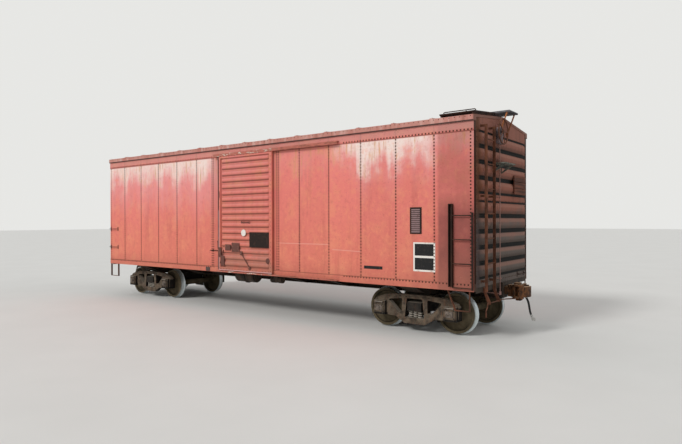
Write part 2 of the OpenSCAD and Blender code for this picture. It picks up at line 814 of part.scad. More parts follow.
// The rod down the end, its guides, and the bell crank at its foot under the end sill
module hand_brake_rod() {
  x = brake_rod_x;
  y = brake_y;
  end_x = x - 700;
  rod_z = crank_z - 10;
  color(rust) union() {
    bar([[x, y, crank_z], [x, y, brake_z - 250]], brake_rod_r);
    for (z = rod_guides) block([half_len, y - 18, z - 10], [x + 20, y + 18, z + 10]);
    block([x - 16, y - 24, crank_z - 30], [x + 16, y + 24, crank_z + 40]);
    bar([[x, y + 5, rod_z], [x - 130, y + 70, rod_z]], brake_rod_r);
    bar([[x - 130, y + 70, rod_z], [end_x, -330, rod_z]], brake_rod_r);
    block([end_x - 20, -342, rod_z - 14], [end_x + 20, -centre_out, rod_z + 14]);
    block([x - 150, y + 50, rod_z - 18], [x - 112, y + 90, end_sill_z + 40]);
    block([x - 150, y + 50, end_sill_z + 40], [half_len - 10, y + 90, end_sill_z + 60]);
  }
}

step_top_z = rib_heights[last_rib - 1] - rib_pitch / 2 + 14;
step_ys = [end_ladder_ys[1] + 18, end_ladder_ys[1] + 568];

// The step under the hand brake, its two brackets, and the hole that the rod passes through
module brake_step() {
  x0 = crest + 4;
  x1 = half_len + 330;
  under = step_top_z - 22;
  rib_z = rib_heights[last_rib - 2];
  color(rust) difference() {
    union() {
      block([x0, step_ys[0], under], [x1, step_ys[1], step_top_z]);
      for (y = [step_ys[0] + 50, step_ys[1] - 70]) along_y(y, y + 8) difference() {
        polygon([[half_len, under - 8], [half_len, under], [x1 - 20, under], [x1 - 20, under - 14], [crest + 16, rib_z - 20],
                 [crest, rib_z - 20], [crest, under - 8]]);
        polygon([[crest + 12, rib_z + 12], [crest + 12, under - 10], [x1 - 110, under - 10]]);
      }
    }
    translate([brake_rod_x, brake_y, under - eps]) cylinder(h = 30, r = brake_rod_r + 9);
  }
}

// ---- air brake ----

cylinder_x = -350;
cylinder_y = 760;
gear_z = 742;              // height of the brake cylinder, its levers and rods

module brake_cylinder() {
  color(iron) union() {
    translate([cylinder_x, cylinder_y, gear_z]) rotate([0, 90, 0]) {
      cylinder(h = 420, r = 140);
      translate([0, 0, -30]) cylinder(h = 32, r = 160);
      translate([0, 0, 400]) cylinder(h = 30, r = 150);
      translate([0, 0, 420]) cylinder(h = 160, r = 26);
    }
    for (x = [cylinder_x + 60, cylinder_x + 330])
      block([x, cylinder_y - 70, gear_z + 100], [x + 20, cylinder_y + 70, floor_under]);
  }
}

reservoir_x = -900;
reservoir_y = -800;
reservoir_z = 845;

module air_reservoir() {
  color(iron) union() {
    translate([reservoir_x, reservoir_y, reservoir_z]) rotate([0, 90, 0]) {
      cylinder(h = 680, r = 165);
      for (z = [-40, 330, 680]) translate([0, 0, z]) cylinder(h = 40, r = z == 330 ? 188 : 140);
    }
    for (x = [reservoir_x + 80, reservoir_x + 540])
      block([x, reservoir_y - 110, reservoir_z + 100], [x + 20, reservoir_y + 110, floor_under]);
  }
}

valve_x = 510;
valve_z = 800;

module control_valve() {
  y = reservoir_y + 20;
  color(iron) union() {
    block([valve_x - 70, y - 90, valve_z - 70], [valve_x + 70, y + 90, valve_z + 80]);
    for (s = [-1, 1]) translate([valve_x + s * 60, y, valve_z]) rotate([0, s * 90, 0]) {
      cylinder(h = 130, r = 86);
      cylinder(h = 150, r = 50);
    }
    block([valve_x - 12, y - 70, valve_z + 70], [valve_x + 12, y + 70, floor_under]);
  }
}

lever_y = 460;           // where the levers' inner ends and the rods are
rod_end_x = truck_gap / 2 - 1350;

// The two levers by the brake cylinder, the tie rod between them, and the rod to each truck
module brake_levers() {
  push_x = cylinder_x + 580;
  fixed_x = cylinder_x - 90;
  t = 12;
  rod_y = lever_y - 20;
  color(rust) union() {
    block([push_x, lever_y - 40, gear_z - t], [push_x + 60, cylinder_y + 70, gear_z + t]);
    block([fixed_x, lever_y - 40, gear_z - t], [fixed_x + 60, cylinder_y + 30, gear_z + t]);
    bar([[fixed_x + 30, lever_y + 100, gear_z], [push_x + 30, lever_y + 100, gear_z]], t - 1);
    for (s = [[push_x + 30, rod_end_x], [fixed_x + 30, -rod_end_x]])
      bar([[s[0], rod_y, gear_z], [s[1], rod_y, gear_z - 30]], t - 1);
    for (x = bearer_places) block([x - 15, rod_y - 22, gear_z - 45], [x + 15, rod_y + 22, bearer_deep_z - bearer_flange_t]);
  }
}

// ---- train pipe and hoses ----

hose_r = 22;

// The middle of the brake end's hose, above the floor, from its nipple to its coupling
hose_points = [
  [6612, 276, 757], [6628, 274, 735], [6643, 272, 711], [6656, 270, 686], [6667, 268, 660], [6676, 266, 633],
  [6683, 264, 605], [6689, 262, 577], [6694, 260, 549], [6699, 258, 521], [6704, 257, 493], [6710, 256, 465],
  [6717, 255, 438], [6726, 254, 411], [6737, 253, 385], [6750, 252, 360]
];

pipe_y = 330;
pipe_z = 790;
pipe_r = 21;
pipe_hole_r = pipe_r + 8;
cross_z = 860;           // height of the train pipe where it crosses the centre sill, at X = 0
cock_x = half_len + 270;

// The hangers' places along the car, between the cross members
pipe_hangers = [5300, 3400, 1900];

hose_mouth = hose_points[0] - [0, 0, flange_h];
hose_start = heading(hose_points, 0);
pipe_cock = [cock_x, pipe_y - 30, pipe_z - 5];

// The brake end's half of the train pipe's route
pipe_points = [
  [0, pipe_y, cross_z], [400, pipe_y, pipe_z], [half_len + 100, pipe_y, pipe_z], pipe_cock,
  hose_mouth - 45 * hose_start
];

// A route's points turned half a turn about Z, in reverse order
function other_half(points) = [for (i = [len(points) - 1 : -1 : 0]) [-points[i][0], -points[i][1], points[i][2]]];

// An angle cock, the nipple that the hose pushes onto, and the pipe's hangers
module pipe_fittings() {
  translate(hose_mouth - 60 * hose_start) aim(hose_start) cylinder(h = 60, r = pipe_r + 6);
  translate(pipe_cock - [30, 0, 0]) rotate([0, 90, 0]) cylinder(h = 60, r = 36);
  translate(pipe_cock) cylinder(h = 62, r = 14);
  for (x = pipe_hangers) {
    block([x - 20, centre_flange - 60, centre_low + centre_flange_t], [x + 20, pipe_y + 26, centre_low + 28]);
    block([x - 20, pipe_y - 26, centre_low + 20], [x + 20, pipe_y + 26, pipe_z]);
  }
}

module train_pipe() {
  color(iron) union() {
    tube(eased(concat(other_half(pipe_points), pipe_points), 70), pipe_r, 12, [0, 0, 1]);
    both_ways() pipe_fittings();
  }
}

module hose() color("dimgray") tube(hose_points, hose_r, 10, [0, 1, 0]);

// The metal coupling on the hose's lower end: a ferrule, a neck and a flat-faced head
module hose_coupling() {
  last = hose_points[len(hose_points) - 1];
  d = heading(hose_points, len(hose_points) - 1);
  color("silver") translate(last) aim(d) union() {
    cylinder(h = 34, r = 26);
    translate([0, 0, 30]) cylinder(h = 30, r = 20);
    translate([-6, 0, 60]) rotate([90, 0, 0]) translate([0, 0, -18]) cylinder(h = 40, r = 34);
    block([-40, -18, 50], [-6, 8, 100]);
  }
}

// ---- trucks ----

axle_r = 82;
hub_r = 135;
frame_half = 65;         // half the thickness of a side frame
frame_in = frame_gap / 2 - frame_half;

// Profile of a wheel as [radius, distance outwards from the wheel's back]
module wheel(side) {
  tread_rise = 6;
  rotate([-90 * side, 0, 0]) translate([0, 0, back_to_back / 2]) rotate_extrude() polygon([
    [axle_r, -12], [hub_r, -12], [hub_r + 12, 10], [hub_r + 40, 46], [wheel_r - 85, 62], [wheel_r - 60, 40],
    [wheel_r - 55, 0], [wheel_r + flange_h - 12, 0], [wheel_r + flange_h - 3, 6], [wheel_r + flange_h, 16],
    [wheel_r + flange_h - 4, 26], [wheel_r + 6, 36], [wheel_r, 48], [wheel_r - tread_rise, rim_w],
    [wheel_r - 58, rim_w], [wheel_r - 66, rim_w - 30], [wheel_r - 90, 84], [hub_r + 30, 100], [hub_r + 4, 132],
    [hub_r, 168], [axle_r, 168]
  ]);
}

journal_out = frame_gap / 2 + 118;

module wheelset() {
  translate([0, 0, wheel_r]) union() {
    for (side = [-1, 1]) wheel(side);
    rotate([90, 0, 0]) {
      translate([0, 0, -back_to_back / 2 - 150]) cylinder(h = back_to_back + 300, r = axle_r + 2);
      translate([0, 0, -journal_out]) cylinder(h = 2 * journal_out, r = journal_r);
      for (s = [-1, 1]) translate([0, 0, s * (journal_out - 6) - 6]) cylinder(h = 12, r = journal_r + 8);
    }
  }
}

box_half = 145;
box_z0 = wheel_r - 129;
box_z1 = wheel_r + 171;
window_floor = 272;
frame_x = wheelbase / 2;
chord_z = plate_z + 108;               // top of a side frame

// Right half of a side frame seen from the side, as [x, z, corner radius], from the top's middle down to the foot
frame_side = [
  [300, chord_z, 60], [frame_x - 138, chord_z - 27, 60], [frame_x + 122, box_z1 + 50, 50],
  [frame_x + 172, box_z1 - 30, 40], [frame_x + 172, box_z0 + 30, 40], [frame_x - 138, box_z0 + 2, 30],
  [460, 280, 60], [240, window_floor - 125, 50]
];
frame_window = [
  [302, chord_z - 88, 30], [frame_x - 186, chord_z - 132, 22], [376, 360, 30], [308, 398, 30]
];
bolster_window = [[-185, chord_z - 82, 30], [185, chord_z - 82, 30], [235, window_floor, 12], [-235, window_floor, 12]];

// The rows of a half outline turned over left to right, and back to front to keep its direction
function turned_over(rows) = [for (i = [len(rows) - 1 : -1 : 0]) [-rows[i][0], rows[i][1], rows[i][2]]];

module frame_plate() {
  difference() {
    polygon(rounded(concat(frame_side, turned_over(frame_side))));
    polygon(rounded(frame_window));
    mirror([1, 0]) polygon(rounded(frame_window));
    polygon(rounded(bolster_window));
  }
}

lid_outline = [
  [-125, box_z0 + 40, 20], [-125, box_z1 - 50, 30], [125, box_z1 - 50, 30], [125, box_z0 + 40, 20]
];

module side_frame() {
  difference() {
    union() {
      along_y(-frame_half, frame_half) frame_plate();
      for (s = [-1, 1]) translate([s * frame_x, 0, 0]) {
        block([-box_half, -142, box_z0], [box_half, 128, box_z1]);
        along_y(128, 150) polygon(rounded(lid_outline));
      }
    }
    for (s = [-1, 1]) translate([s * frame_x, 0, wheel_r]) rotate([90, 0, 0]) {
      translate([0, 0, -122]) cylinder(h = 300, r = journal_r + journal_gap);
      translate([0, 0, -124]) cylinder(h = 26, r = journal_r + 14);
      translate([0, 0, 100]) cylinder(h = 60, r = axle_r + 12);
    }
  }
}

module side_frames() {
  color(iron) for (s = [0, 180]) rotate([0, 0, s]) translate([0, frame_gap / 2, 0]) side_frame();
}

bolster_w = 165;         // half the width of a truck bolster along the car
bolster_top = 640;
bolster_end_z = 419;

module truck_bolster() {
  end_y = frame_gap / 2 + 80;
  color(iron) difference() {
    union() {
      along_x(-bolster_w, bolster_w) polygon([
        [-end_y, bolster_end_z], [-frame_in, bolster_end_z], [-700, bolster_end_z - 30], [-420, 350], [420, 350],
        [700, bolster_end_z - 30], [frame_in, bolster_end_z], [end_y, bolster_end_z], [end_y, 600], [850, 615],
        [420, plate_z - 20], [-420, plate_z - 20], [-850, 615], [-end_y, 600]
      ]);
      translate([0, 0, plate_z - 24]) cylinder(h = 40, r = plate_r + 28);
      for (s = [-1, 1])
        block([-85, s * side_bearing_y - 45, 600], [85, s * side_bearing_y + 45, centre_low - cover_t - side_bearing_h - 8]);
    }
    translate([0, 0, plate_z - seat]) cylinder(h = 100, r = plate_r + 6);
  }
}

spring_r = 52;
coil_r = 11;             // radius of the spring's wire
coils = 6;

// Half the outline of a closed coil spring, as a stack of round coils
function spring_side(height) = [
  for (i = [0 : coils - 1], a = [-75 : 30 : 75])
    [spring_r - coil_r + coil_r * cos(a), (i + 0.5 + 0.47 * sin(a)) * height / coils]
];

module springs() {
  height = bolster_end_z - window_floor;
  color(rust) for (x = [-1, 0, 1] * (2 * spring_r + 4), s = [-1, 1])
    translate([x, s * frame_gap / 2, window_floor]) rotate_extrude()
      polygon(concat([[0, 0], [spring_r - coil_r, 0]], spring_side(height), [[spring_r - coil_r, height], [0, height]]));
}

shoe_gap = 8;

beam_z = 330;
shoe_t = 55;
beam_x = frame_x - wheel_r - shoe_gap - shoe_t - 106;
tread_y = back_to_back / 2 + 90;       // middle of a tread

// A brake beam with its two heads and shoes, which lie just off the treads of one axle
module brake_beam() {
  block([beam_x, seat - frame_in, beam_z - 25], [beam_x + 70, frame_in - seat, beam_z + 25]);
  for (y = [-tread_y, tread_y]) difference() {
    union() {
      block([beam_x + 60, y - 28, beam_z - 60], [beam_x + 150, y + 28, beam_z + 70]);
      intersection() {
        translate([frame_x, y + 40, wheel_r]) rotate([90, 0, 0]) cylinder(h = 80, r = wheel_r + shoe_gap + shoe_t);
        block([beam_x + 80, y - 40, beam_z - 130], [frame_x, y + 40, beam_z + 150]);
      }
    }
    translate([frame_x, y + 50, wheel_r]) rotate([90, 0, 0]) cylinder(h = 100, r = wheel_r + shoe_gap);
  }
}

module brake_beams() {
  color(iron) for (s = [0, 180]) rotate([0, 0, s]) brake_beam();
}

// Places a truck's piece: the brake end truck is at +X, and the plain end truck is turned half a turn
module truck_at(side) rotate([0, 0, side > 0 ? 0 : 180]) translate([truck_gap / 2, 0, 0]) children();
module outer_axle() translate([frame_x, 0, 0]) children();
module inner_axle() translate([-frame_x, 0, 0]) children();
module far_end() rotate([0, 0, 180]) children();

on_rail() floor();
on_rail() right_side_wall();
on_rail() far_end() right_side_wall();  // left_side_wall
on_rail() end_wall();  // brake_end_wall
on_rail() far_end() end_wall();  // plain_end_wall
on_rail() roof();
on_rail() running_board();
on_rail() corner_boards();
on_rail() right_door();
on_rail() far_end() right_door();  // left_door
on_rail() door_tracks();  // right_door_tracks
on_rail() far_end() door_tracks();  // left_door_tracks
on_rail() centre_sill();
on_rail() body_bolsters();
on_rail() crossbearers();
on_rail() floor_stringers();
on_rail() end_sills();
on_rail() side_ladders();
on_rail() end_ladders();
on_rail() grab_irons();
on_rail() sill_steps();
on_rail() coupler();  // brake_end_coupler
on_rail() far_end() coupler();  // plain_end_coupler
on_rail() coupler_knuckles();
on_rail() uncoupling_levers();
on_rail() hand_brake_housing();
on_rail() hand_brake_wheel();
on_rail() hand_brake_rod();
on_rail() brake_step();
on_rail() brake_cylinder();
on_rail() air_reservoir();
on_rail() control_valve();
on_rail() brake_levers();
on_rail() train_pipe();
hose();  // brake_end_hose
far_end() hose();  // plain_end_hose
hose_coupling();  // brake_end_hose_coupling
far_end() hose_coupling();  // plain_end_hose_coupling
on_rail() truck_at(1) side_frames();  // brake_truck_side_frames
on_rail() truck_at(1) truck_bolster();  // brake_truck_bolster
on_rail() truck_at(1) springs();  // brake_truck_springs
on_rail() truck_at(1) brake_beams();  // brake_truck_brake_beams
on_rail() truck_at(1) outer_axle() wheelset();  // brake_truck_outer_wheelset
on_rail() truck_at(1) inner_axle() wheelset();  // brake_truck_inner_wheelset
on_rail() truck_at(-1) side_frames();  // plain_truck_side_frames
on_rail() truck_at(-1) truck_bolster();  // plain_truck_bolster
on_rail() truck_at(-1) springs();  // plain_truck_springs
on_rail() truck_at(-1) brake_beams();  // plain_truck_brake_beams
on_rail() truck_at(-1) outer_axle() wheelset();  // plain_truck_outer_wheelset
on_rail() truck_at(-1) inner_axle() wheelset();  // plain_truck_inner_wheelset
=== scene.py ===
import math

import bmesh
import bpy
from mathutils import Matrix, Vector


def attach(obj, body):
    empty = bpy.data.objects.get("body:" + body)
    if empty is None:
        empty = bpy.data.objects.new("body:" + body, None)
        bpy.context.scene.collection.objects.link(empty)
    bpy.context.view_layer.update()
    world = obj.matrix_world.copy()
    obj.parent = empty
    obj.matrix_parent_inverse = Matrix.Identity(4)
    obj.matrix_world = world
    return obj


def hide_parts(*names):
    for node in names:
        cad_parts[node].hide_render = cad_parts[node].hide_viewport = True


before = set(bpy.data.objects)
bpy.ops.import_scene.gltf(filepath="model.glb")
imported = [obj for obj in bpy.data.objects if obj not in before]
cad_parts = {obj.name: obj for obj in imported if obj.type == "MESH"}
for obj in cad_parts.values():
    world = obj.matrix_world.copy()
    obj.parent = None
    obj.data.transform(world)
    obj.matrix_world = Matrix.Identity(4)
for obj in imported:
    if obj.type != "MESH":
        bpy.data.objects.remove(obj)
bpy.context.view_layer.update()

railTop = 0.025  # the flanges reach this far below the tread
scene = bpy.context.scene

# camera

cameraLook = {"place": (10.4324, -11.2434, 2.3541), "yaw": 36.8906, "pitch": -0.1256, "roll": -0.1704,
              "focal": 29.02, "sensor": 36.0, "farthest": 400.0}
cameraData = bpy.data.cameras.new("camera")
cameraData.lens = cameraLook["focal"]
cameraData.sensor_width = cameraLook["sensor"]
cameraData.clip_end = cameraLook["farthest"]
camera = bpy.data.objects.new("camera", cameraData)
turn = (Matrix.Rotation(math.radians(cameraLook["yaw"]), 4, "Z")
        @ Matrix.Rotation(math.radians(90 + cameraLook["pitch"]), 4, "X")
        @ Matrix.Rotation(math.radians(cameraLook["roll"]), 4, "Z"))
camera.matrix_world = Matrix.Translation(cameraLook["place"]) @ turn
scene.collection.objects.link(camera)
scene.camera = camera


# shader wiring

class Wire:
    # a socket in a shader tree: sums written on it add their Math nodes
    def __init__(self, tree, socket=None):
        self.tree, self.socket = tree, socket

    def node(self, kind, settings=None, values=None, out=0):
        made = self.tree.nodes.new(kind)
        for key, value in (settings or {}).items():
            if key == "stops":
                ramp = made.color_ramp
                while len(ramp.elements) < len(value):
                    ramp.elements.new(0.5)
                for element, (place, colour) in zip(ramp.elements, value):
                    element.position, element.color = place, (*colour, 1.0)
            else:
                setattr(made, key, value)
        for key, value in (values or {}).items():
            if isinstance(value, Wire):
                self.tree.links.new(value.socket, made.inputs[key])
            else:
                made.inputs[key].default_value = value
        return Wire(self.tree, made.outputs[out])

    def math(self, operation, *terms):
        return self.node("ShaderNodeMath", {"operation": operation}, dict(enumerate(terms)))

    def __add__(self, other): return self.math("ADD", self, other)
    def __radd__(self, other): return self.math("ADD", other, self)
    def __sub__(self, other): return self.math("SUBTRACT", self, other)
    def __rsub__(self, other): return self.math("SUBTRACT", other, self)
    def __mul__(self, other): return self.math("MULTIPLY", self, other)
    def __rmul__(self, other): return self.math("MULTIPLY", other, self)
    def __truediv__(self, other): return self.math("DIVIDE", self, other)
    def __abs__(self): return self.math("ABSOLUTE", self)

    def rise(self, low, high):  # 0 below low, 1 above high, smooth between
        return self.node("ShaderNodeMapRange", {"interpolation_type": "SMOOTHSTEP"},
                         {"Value": self, "From Min": low, "From Max": high})

    def mix(self, mask, first, second):
        def shown(c): return c if isinstance(c, Wire) else (*c, 1.0)
        return self.node("ShaderNodeMix", {"data_type": "RGBA"},
                         {0: mask, 6: shown(first), 7: shown(second)}, out=2)

    def noise(self, place, scale, detail=3.0, roughness=0.55, stretch=(1, 1, 1)):
        if stretch != (1, 1, 1):
            place = self.node("ShaderNodeVectorMath", {"operation": "MULTIPLY"}, {0: place, 1: stretch})
        return self.node("ShaderNodeTexNoise", {}, {"Vector": place, "Scale": scale, "Detail": detail,
                                                    "Roughness": roughness})


finishes = {}


def startFinish(name, roughness, metallic=0.0):
    made = bpy.data.materials.new(name)
    made.use_nodes = True
    tree = made.node_tree
    tree.nodes.clear()
    output = tree.nodes.new("ShaderNodeOutputMaterial")
    shader = tree.nodes.new("ShaderNodeBsdfPrincipled")
    tree.links.new(shader.outputs[0], output.inputs[0])
    shader.inputs["Roughness"].default_value = roughness
    shader.inputs["Metallic"].default_value = metallic
    shader.inputs["Specular IOR Level"].default_value = 0.25
    w = Wire(tree)
    place = w.node("ShaderNodeTexCoord", out=3)
    axes = place.tree.nodes.new("ShaderNodeSeparateXYZ")
    tree.links.new(place.socket, axes.inputs[0])
    x, y, z = (Wire(tree, s) for s in axes.outputs)
    finishes[name] = made
    return shader, w, place, x, y, z


def feed(shader, socket, wire):
    wire.tree.links.new(wire.socket, shader.inputs[socket])


def bump(shader, w, height, strength, distance):
    feed(shader, "Normal", w.node("ShaderNodeBump", {}, {"Strength": strength, "Distance": distance,
                                                         "Height": height}))


def surfaceAim(w, axis):  # the surface's own direction along x, y or z
    normal = w.node("ShaderNodeNewGeometry", out=1)
    axes = w.tree.nodes.new("ShaderNodeSeparateXYZ")
    w.tree.links.new(normal.socket, axes.inputs[0])
    return Wire(w.tree, axes.outputs[axis])


# painted sides

paintLook = {"low": (0.74, 0.205, 0.145), "high": (0.80, 0.215, 0.185), "deep": (0.47, 0.115, 0.09),
             "warm": (0.80, 0.275, 0.170), "orange": (0.84, 0.30, 0.165), "pink": (0.80, 0.34, 0.34),
             "chalk": (0.88, 0.77, 0.70), "rust": (0.62, 0.29, 0.11), "dusk": (0.21, 0.058, 0.052),
             "grimeAndShade": (0.07, 0.03, 0.02), "splash": (0.30, 0.17, 0.13), "soil": (0.34, 0.13, 0.09),
             "scuff": (0.86, 0.52, 0.44), "fascia": (0.52, 0.30, 0.26), "scrape": (0.80, 0.50, 0.42),
             "sillDirt": (0.34, 0.12, 0.075), "sheets": 12.46, "firstSeam": 1.88, "seamPitch": 0.88,
             "sillTop": 1.122, "fasciaFoot": 4.03, "lastSeam": 5.42,
             "chalkAlong": [(0.0, 0.90), (0.14, 0.80), (0.38, 0.94), (0.42, 0.14), (0.725, 0.08), (0.765, 0.95),
                            (0.91, 1.0), (0.935, 0.25)]}
endLook = {"top": (0.26, 0.103, 0.073), "mid": (0.27, 0.097, 0.064), "low": (0.12, 0.095, 0.082),
           "grooveShade": (0.004, 0.004, 0.003), "crest": (0.37, 0.175, 0.125), "post": (0.045, 0.022, 0.012),
           "stain": (0.10, 0.036, 0.014), "soot": (0.062, 0.045, 0.043), "run": (0.085, 0.045, 0.032),
           "shade": (0.045, 0.027, 0.02), "ribPitch": 0.304, "sheetX": 6.24,
           "ribFields": ((1.356, 1.19, 2.72), (3.001, 2.84, 4.07))}  # first rib, lowest and highest edge


def sidePaint(name, chalky=1.0, dull=0.0, lapped=True):
    look = paintLook
    shader, w, place, x, y, z = startFinish(name, 0.72)
    up = z - railTop
    cloud = w.noise(place, 0.9, 4)
    blotch = w.noise(place, 2.6, 5, 0.6)
    fine = w.noise(place, 26.0, 4, 0.7)
    streaks = w.noise(place, 1.0, 5, 0.6, (5.0, 1.0, 0.55))
    thinStreaks = w.noise(place, 1.0, 4, 0.7, (26.0, 1.0, 0.9))
    colour = w.mix((z + (cloud - 0.5) * 1.6).rise(1.2, 3.4), look["low"], look["high"])
    colour = w.mix(blotch.rise(0.45, 0.68) * 0.7, colour, look["warm"])
    colour = w.mix(streaks.rise(0.48, 0.75) * 0.4, colour, look["deep"])
    panel = abs(x) - look["firstSeam"]
    across = w.math("FRACT", panel / look["seamPitch"])
    number = w.math("FLOOR", x / look["seamPitch"])
    tone = w.node("ShaderNodeTexWhiteNoise", {"noise_dimensions": "1D"}, {"W": number + 0.37})
    colour = w.mix(tone * 0.16 + x.rise(1.0, 6.2) * 0.22, colour, look["deep"])
    # chalk hangs from the top seam, longest beside the upright seams and more on some panels
    amount = w.node("ShaderNodeValToRGB", {"stops": [(p, (v, v, v)) for p, v in look["chalkAlong"]]},
                    {0: x / look["sheets"] + 0.5})
    edge = abs(across - 0.5) * 2.0
    reach = edge.rise(0.1, 1.0) * 0.30 + (streaks - 0.5) * 1.1 + (blotch - 0.5) * 1.0 + (tone - 0.5) * 0.3
    drop = up + reach
    below = up.rise(4.035, 4.0)
    pink = (drop + x.rise(-0.6, -1.2) * 0.45).rise(2.9, 4.2) * below * chalky
    lastSeam = look["lastSeam"]
    fresh = x.rise(-0.4, 0.5) * x.rise(3.2, 2.75) + x.rise(lastSeam, lastSeam + 0.08)
    colour = w.mix(pink * (0.62 - 0.58 * fresh), colour, look["pink"])
    chalk = drop.rise(3.43, 4.13) * below * amount * chalky
    colour = w.mix(chalk * (0.75 + 0.25 * thinStreaks), colour, look["chalk"])
    rustRun = thinStreaks.rise(0.50, 0.64) * drop.rise(3.5, 3.95) * below * blotch.rise(0.44, 0.56)
    colour = w.mix(rustRun * 0.8, colour, look["rust"])
    mottle = w.noise(place, 11.0, 3, 0.6)
    colour = w.mix(mottle.rise(0.52, 0.70) * 0.30, colour, look["orange"])
    colour = w.mix(mottle.rise(0.44, 0.30) * 0.25, colour, look["deep"])
    seam = w.math("MINIMUM", across, 1.0 - across)
    sideFace = up.rise(1.10, 1.13)
    if lapped:  # sheets: a dark line and a little dirt each side of every upright seam
        lap = seam.rise(0.018, 0.004) * 0.22 + seam.rise(0.07, 0.0) * 0.12
        colour = w.mix(lap * sideFace, colour, look["grimeAndShade"])
        jamb = abs(x).rise(1.0, 1.05) * abs(x).rise(1.27, 1.22) * sideFace * abs(y).rise(1.46, 1.47)
        colour = w.mix(jamb * 0.38, colour, look["deep"])
        # a dark line along the sill, and a painted shadow under the roof's edge at the foot of the fascia
        sill, fascia = abs(up - look["sillTop"]), abs(up - look["fasciaFoot"])
        colour = w.mix((sill.rise(0.014, 0.004) + fascia.rise(0.016, 0.004)) * 0.55, colour, look["grimeAndShade"])
        corner = x.rise(5.44, 5.52) * (up.rise(2.9, 2.3) * 0.42 + 0.38 + (blotch - 0.5) * 0.7)
        colour = w.mix(corner * abs(y).rise(1.4, 1.45), colour, look["dusk"])
        soil = x.rise(4.5, 5.6) * up.rise(2.1, 1.2) * 0.40
        colour = w.mix(soil, colour, look["soil"])
        # two pale lines where something rubbed along the side
        scuff = (abs(up - 1.795).rise(0.013, 0.005) * x.rise(1.19, 1.22) * x.rise(2.75, 2.72)
                 + abs(up + x * 0.03 - 1.77).rise(0.013, 0.005) * x.rise(2.84, 2.87) * x.rise(3.64, 3.61))
        colour = w.mix(scuff * 0.36, colour, look["scuff"])
        colour = w.mix(up.rise(look["fasciaFoot"], 4.10) * (0.30 + 0.30 * blotch), colour, look["fascia"])
    else:  # boards: painted shade under each rib and on the parts set back from the face, painted highlight on top of each rib, dirt splashed up from below
        slant = surfaceAim(w, 2)
        colour = w.mix(slant.rise(-0.05, -0.5) * 0.62, colour, look["grimeAndShade"])
        colour = w.mix(slant.rise(0.1, 0.6) * 0.30, colour, look["pink"])
        # painted shade on the parts of the door set back from its face
        colour = w.mix(abs(y).rise(1.537, 1.528) * 0.14, colour, look["grimeAndShade"])
        colour = w.mix(up.rise(1.95, 1.30) * blotch.rise(0.36, 0.56) * 0.48, colour, look["splash"])
    specks = w.noise(place, 48.0, 2, 0.5)
    colour = w.mix(specks.rise(0.66, 0.74) * 0.75, colour, look["grimeAndShade"])
    scrape = w.noise(place, 1.0, 3, 0.7, (9.0, 1.0, 90.0))
    colour = w.mix(scrape.rise(0.68, 0.76) * 0.5, colour, look["scrape"])
    lowDirt = (z + (fine - 0.5) * 0.3 - railTop).rise(1.5, 0.95) * 0.35 + dull
    colour = w.mix(lowDirt, colour, look["sillDirt"])
    # corner posts and the grooves behind them, painted near black as shade
    post = abs(surfaceAim(w, 0)).rise(0.6, 0.8) * abs(x).rise(6.05, 6.1)
    grooveShade = abs(x).rise(6.18, 6.188) * abs(y).rise(1.479, 1.477)
    colour = w.mix(w.math("MAXIMUM", post, grooveShade) * 0.95, colour, endLook["post"])
    feed(shader, "Base Color", colour)
    feed(shader, "Roughness", 0.62 + 0.25 * fine)
    bump(shader, w, fine + streaks * 0.5, 0.25, 0.004)


sidePaint("fadedSidePaint")
sidePaint("fadedDoorPaint", chalky=0.25, dull=0.15, lapped=False)


# painted ends

def endPaint(name):
    look = endLook
    shader, w, place, x, y, z = startFinish(name, 0.78)
    cloud = w.noise(place, 1.6, 4)
    fine = w.noise(place, 30.0, 4, 0.7)
    runs = w.noise(place, 1.0, 5, 0.65, (1.0, 12.0, 0.6))
    up = z - railTop
    out = abs(x)
    colour = w.mix((up + (cloud - 0.5) * 1.6).rise(1.9, 2.8), look["low"], look["mid"])
    colour = w.mix((up + (cloud - 0.5) * 0.8).rise(3.0, 4.0), colour, look["top"])
    colour = w.mix(runs.rise(0.5, 0.75) * 0.55, colour, look["run"])
    for first, low, high in look["ribFields"]:
        beat = w.math("FRACT", (up - first) / look["ribPitch"] + 4.0)
        inside = up.rise(low - 0.01, low + 0.01) * up.rise(high + 0.01, high - 0.01)
        # painted highlight on the upper half of each rib, painted shade on its lower half
        light = beat.rise(0.02, 0.16) * beat.rise(0.40, 0.30) * inside
        shade = beat.rise(0.56, 0.66) * beat.rise(0.96, 0.74) * inside
        colour = w.mix(light * 0.45, colour, look["crest"])
        colour = w.mix(shade * 0.45, colour, look["shade"])
        # painted shadow in the grooves between the ribs, near black
        gap = abs(beat - 0.5).rise(0.19, 0.11)
        colour = w.mix(gap * inside * out.rise(6.2, 6.229) * out.rise(6.282, 6.262), colour, look["grooveShade"])
    # rust down the edge on the left of whoever faces the end
    edge = (x * y / -look["sheetX"]) + (cloud - 0.5) * 0.16
    stain = w.mix((up + (cloud - 0.5) * 0.8).rise(2.1, 2.9), look["soot"], look["stain"])
    colour = w.mix(edge.rise(1.16, 1.30) * 0.85, colour, stain)
    # painted shade at both side edges of the end, over the corner posts
    post = abs(y).rise(1.375, 1.40) * out.rise(6.16, 6.18)
    colour = w.mix(post * 0.85, colour, look["post"])
    feed(shader, "Base Color", colour)
    feed(shader, "Roughness", 0.7 + 0.25 * fine)
    bump(shader, w, fine + runs, 0.25, 0.005)


endPaint("grimyEndPaint")


# metals, wood, rubber

truckLook = {"centreX": 4.71, "axleX": 0.838, "axleZ": 0.444}
